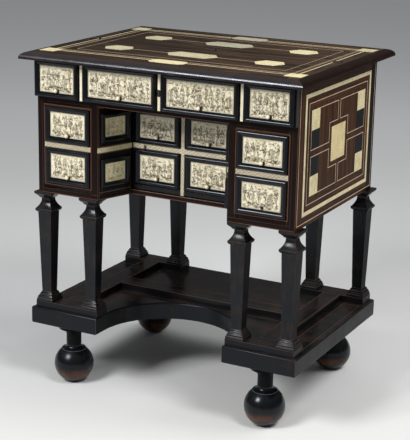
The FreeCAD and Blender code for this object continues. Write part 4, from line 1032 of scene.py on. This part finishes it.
# Folding top
# Two boards veneered in rosewood meet at a hinged seam. A black thumbnail moulding is mitred round the
# outside, and bone plates and cream lines are let into the veneer.
TOP_TONES = ("#48372a", "#18120d", "#080504")
EDGE_TONES = ("#110a08", "#231712")
CROSSBAND_FROM = 301 * MM
# The painted light and shade across the top: its half reach, and how it scales the colour at each end.
PAINTED_LIGHT_HALF = 365 * MM
PAINTED_SHADE_LEFT = 0.68
PAINTED_LIGHT_RIGHT = 1.3
THREAD_MOST = 2
BORDER_MOST = 5
FRONT_ROW = -200
BACK_ROW = 200
RIGHT_FROM = 120
SEAM_ROW = 20
MIDDLE_HALF = 90


def top_veneer(name):
    # The top's rosewood lies along the front edge, with a crossband at each end. Its colour is scaled darker
    # to the left and paler to the right, painted shade and painted light across the top.
    material, tree, shader, place = new_material(name)
    x = add(tree, "SeparateXYZ", {0: place}, "X")
    reach = add(tree, "Math", {0: x}, operation="ABSOLUTE")
    end = add(tree, "Math", {0: reach, 1: CROSSBAND_FROM}, operation="GREATER_THAN")
    colour, pores = crossed_wood(tree, place, "xy", TOP_TONES, end)
    # Painted shade towards the left end and painted light towards the right end.
    painted_light_scale = add(tree, "MapRange", {
        "Value": x, "From Min": -PAINTED_LIGHT_HALF, "From Max": PAINTED_LIGHT_HALF, "To Min": PAINTED_SHADE_LEFT, "To Max": PAINTED_LIGHT_RIGHT})
    painted_light_colour = add(tree, "VectorMath", {0: colour, "Scale": painted_light_scale}, operation="SCALE")
    polish(tree, shader, painted_light_colour, pores, 0.42, 0.1)
    return material


def top_finish(spans):
    # 0 a bone plate, 1 the border line, 2 a fine thread, 3 a paler plate, 4 a greyer one.
    narrow = min(high - low for low, high in spans)
    x, y = [(low + high) / 2 for low, high in spans]
    if narrow < BORDER_MOST:
        return 2 if narrow < THREAD_MOST else 1
    if y < FRONT_ROW or (x > RIGHT_FROM and y < BACK_ROW):
        return 3
    return 4 if y > SEAM_ROW and abs(x) < MIDDLE_HALF else 0


top_rosewood = top_veneer("rosewood_top_veneer")
edge_black = stained_wood("stained_pear_thumbnail_moulding", "x", 0.26, 0.9, tones=EDGE_TONES)
edge_end_black = stained_wood("stained_pear_end_moulding", "y", 0.4, 0.06, tones=EDGE_TONES)
top_bone = bone("bone_plates_across", "x", ("#c9c1a2", "#b2a985", "#8f8260"))
top_pale = bone("bone_pale_plates_across", "x", ("#e2d8b2", "#cdbf90", "#a8976a"))
top_grey = bone("bone_grey_plates_across", "x", ("#b5b09a", "#9d9882", "#7f7a64"))
border_bone = thin_finish("cream_border_line", ("#ddd0ac", "#b7a67c"), 0.42, LINE_PATCH)
thread_wood = thin_finish("brown_thread", ("#b09e84", "#7f6d57"), 0.45, LINE_PATCH)
for half, body in (("front", "top_leaf"), ("rear", "case")):
    show_solid(f"top_{half}_veneer", f"top_{half}_board", [top_rosewood], body)
    node = f"top_{half}_edging"
    moulding = rubbed_copy(node)
    refinish(moulding, 1, lambda way, place: abs(way.x) > abs(way.y))
    show(f"top_{half}_moulding", moulding, [edge_black, edge_end_black], body, node)
    node = f"top_{half}_inlay"
    show(f"top_{half}_plates", inlaid_copy(node, ABOVE, (1, 0, 0), BEHIND, top_finish),
         [top_bone, border_bone, thread_wood, top_pale, top_grey], body, node)


# Hinges and locks
# Forged iron butt hinges and lock cases, let into the wood and gone dark with age, and small two-lobed
# iron plates pinned round the keyholes of the fall front and the door.
HAMMER_MARK = 4 * MM
LOBE_RADIUS = 4.3
LOBE_DROP = 7.6
LOBE_POINTS = 17
KEYHOLE_RADIUS = 2.2
KEYHOLE_HALF_SLOT = 0.9
KEYHOLE_DROP = 7.0
KEYHOLE_POINTS = 15
KEY_PLATE_THICK = 0.8
DOOR_KEY_SIZE = 0.8
DOOR_KEY_INSET = 34.0


def key_plate(place, size):
    # A thin plate of two round lobes with the keyhole through it, facing the front.
    waist = math.acos(LOBE_DROP / 2 / LOBE_RADIUS) / math.tau
    upper = arc(0, 0, LOBE_RADIUS, waist - 0.25, 0.75 - waist, LOBE_POINTS)
    lower = arc(0, -LOBE_DROP, LOBE_RADIUS, 0.25 + waist, 1.25 - waist, LOBE_POINTS)
    outer = [(x * size, y * size) for x, y in upper + lower[1:-1]]
    edge = math.acos(KEYHOLE_HALF_SLOT / KEYHOLE_RADIUS) / math.tau
    inner = arc(0, 0, KEYHOLE_RADIUS, -edge, 0.5 + edge, KEYHOLE_POINTS)
    inner += [(-KEYHOLE_HALF_SLOT, -KEYHOLE_DROP), (KEYHOLE_HALF_SLOT, -KEYHOLE_DROP)]
    bm = bmesh.new()
    rims = []
    for outline in (outer, inner):
        corners = [bm.verts.new(Vector(place) + Vector((x, 0, y)) * MM) for x, y in outline]
        rims += [bm.edges.new((corners[i - 1], corners[i])) for i in range(len(corners))]
    flat = bmesh.ops.bridge_loops(bm, edges=rims)["faces"]
    raised = bmesh.ops.extrude_face_region(bm, geom=flat, use_keep_orig=True)["geom"]
    for part in raised:
        if isinstance(part, bmesh.types.BMVert):
            part.co.y -= KEY_PLATE_THICK * MM
    bmesh.ops.recalc_face_normals(bm, faces=bm.faces)
    return settled(bm)


# Dark forged iron has small hammer marks and a dull grey-brown skin.
iron = thin_finish("dark_forged_iron", ("#4a4743", "#2b2826"), 0.4, HAMMER_MARK, detail=4.0, rougher=0.25,
                   relief=0.2, metallic=1.0)
for node, body in (
        ("top_hinges_front", "top_leaf"), ("top_hinges_rear", "case"), ("flap_hinges_fixed", "case"),
        ("flap_hinges_moving", "fall_front"), ("flap_lock", "fall_front"), ("door_hinges_fixed", "case"),
        ("door_hinges_moving", "recess_door"), ("door_lock", "recess_door")):
    show_solid(f"iron_{node}", node, [iron], body)
plate_iron = thin_finish("blackened_iron_plate", ("#14130f", "#0b0b0a"), 0.5, HAMMER_MARK)
door_key_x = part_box("door_board")[0][0] + DOOR_KEY_INSET * MM
for front, body, x, size in (
        ("flap", "fall_front", 0.0, 1.0), ("door", "recess_door", door_key_x, DOOR_KEY_SIZE)):
    key = (x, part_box(f"{front}_plaques")[0][1], centre(f"{front}_lock")[2])
    show(f"{front}_key_plate", key_plate(key, size), [plate_iron], body)


# Floor, lamps and camera
# A pale paper floor, painted greyer in front and at the left where the key lamp is nearest and paler to the
# right and far behind, as painted shade and painted light; a soft key lamp at the front left and two wide
# fill lamps at the right.
PAINTED_FLOOR_LEFT = "#cbcccd"
PAINTED_FLOOR_RIGHT = "#d9dad9"
PAINTED_FLOOR_FRONT = "#d3d3d2"
PAINTED_FLOOR_NEAR = "#b0b1b2"
PAINTED_FLOOR_MIDDLE = "#cdcfcf"
PAINTED_FLOOR_FAR = "#dcdee0"
FLOOR_HALF = 14.0
GLOW_LOW = 0.06
GLOW_HIGH = 0.4
BACKDROP_GLOW = 0.21
DESK_MIDDLE = (0.0, 0.0, 0.5)
KEY_PLACE = (-1.05, -2.6, 2.55)
FRONT_FILL_PLACE = (2.3, -1.0, 3.5)
RIGHT_FILL_PLACE = (2.2, 0.9, 2.8)
RIGHT_FILL_AIM = (0.1, 0.1, 0.4)
CAMERA_AZIMUTH = math.radians(27.56)
CAMERA_ELEVATION = math.radians(15.96)
CAMERA_ROLL = math.radians(1.13)
CAMERA_PLACE = Vector((1.4948, -2.8796, 1.3358))
FOCAL_PIXELS = 1356
FRAME_PIXELS = 440
SENSOR = 36.0


def softbox(name, place, target, size, power, mirrored=False):
    # A square lamp that looks at a point. Only one that is mirrored leaves highlights.
    lamp = bpy.data.lights.new(name, "AREA")
    lamp.size = size
    lamp.energy = power
    box = bpy.data.objects.new(name, lamp)
    box.location = place
    box.rotation_euler = (Vector(target) - Vector(place)).to_track_quat("-Z", "Y").to_euler()
    box.visible_glossy = mirrored
    bpy.context.scene.collection.objects.link(box)


floor_mesh = bpy.data.meshes.new("paper_floor")
floor_corners = [(x * FLOOR_HALF, y * FLOOR_HALF, 0) for x, y in ((-1, -1), (1, -1), (1, 1), (-1, 1))]
floor_mesh.from_pydata(floor_corners, [], [(0, 1, 2, 3)])
paper, tree, shader, place = new_material("pale_paper")
turned = add(tree, "VectorRotate", {"Vector": place, "Angle": -CAMERA_AZIMUTH}, rotation_type="Z_AXIS")
floor_reach = add(tree, "SeparateXYZ", {0: turned}, None)
# The paper's tone is painted light and shade, blended across and along the view.
tone = linear(PAINTED_FLOOR_LEFT)
for axis, first, last, colour in (
        ("X", -0.5, 0.45, PAINTED_FLOOR_RIGHT), ("Y", 0.2, -0.4, PAINTED_FLOOR_FRONT), ("Y", -0.5, -1.5, PAINTED_FLOOR_NEAR),
        ("Y", 0.4, 1.5, PAINTED_FLOOR_MIDDLE), ("Y", 1.8, 3.6, PAINTED_FLOOR_FAR)):
    share = add(tree, "MapRange", {
        "Value": floor_reach[axis], "From Min": first, "From Max": last}, interpolation_type="SMOOTHSTEP")
    tone = add(tree, "Mix", {0: share, COLOUR_A: tone, COLOUR_B: linear(colour)}, **COLOURS)
feed(tree, shader, {"Base Color": tone, "Roughness": 0.9, "Specular IOR Level": 0.1})
floor_mesh.materials.append(paper)
floor = bpy.data.objects.new("paper_floor", floor_mesh)
bpy.context.scene.collection.objects.link(floor)

world = bpy.data.worlds.new("studio")
world.use_nodes = True
bpy.context.scene.world = world
sky = world.node_tree
sky_way = add(sky, "TexCoord", {}, "Generated")
sky_height = add(sky, "SeparateXYZ", {0: sky_way}, "Z")
glow = add(sky, "MapRange", {
    "Value": sky_height, "From Min": 0.2, "From Max": 0.9, "To Min": GLOW_LOW, "To Max": GLOW_HIGH})
seen = add(sky, "LightPath", {}, "Is Camera Ray")
backdrop = add(sky, "Mix", {0: seen, VALUE_A: glow, VALUE_B: BACKDROP_GLOW})
feed(sky, sky.nodes["Background"], {"Color": linear("#ffffff"), "Strength": backdrop})
softbox("key", KEY_PLACE, DESK_MIDDLE, size=1.1, power=109, mirrored=True)
softbox("front_fill", FRONT_FILL_PLACE, DESK_MIDDLE, size=1.2, power=76)
softbox("right_fill", RIGHT_FILL_PLACE, RIGHT_FILL_AIM, size=1.6, power=44)

camera_data = bpy.data.cameras.new("camera")
camera_data.sensor_width = SENSOR
camera_data.lens = FOCAL_PIXELS / FRAME_PIXELS * SENSOR
camera = bpy.data.objects.new("camera", camera_data)
camera_stand = Matrix.Translation(CAMERA_PLACE)
for angle, axis in ((CAMERA_AZIMUTH, "Z"), (math.pi / 2 - CAMERA_ELEVATION, "X"), (CAMERA_ROLL, "Z")):
    camera_stand = camera_stand @ Matrix.Rotation(angle, 4, axis)
camera.matrix_world = camera_stand
bpy.context.scene.collection.objects.link(camera)
bpy.context.scene.camera = camera
bpy.context.scene.view_settings.view_transform = "Standard"
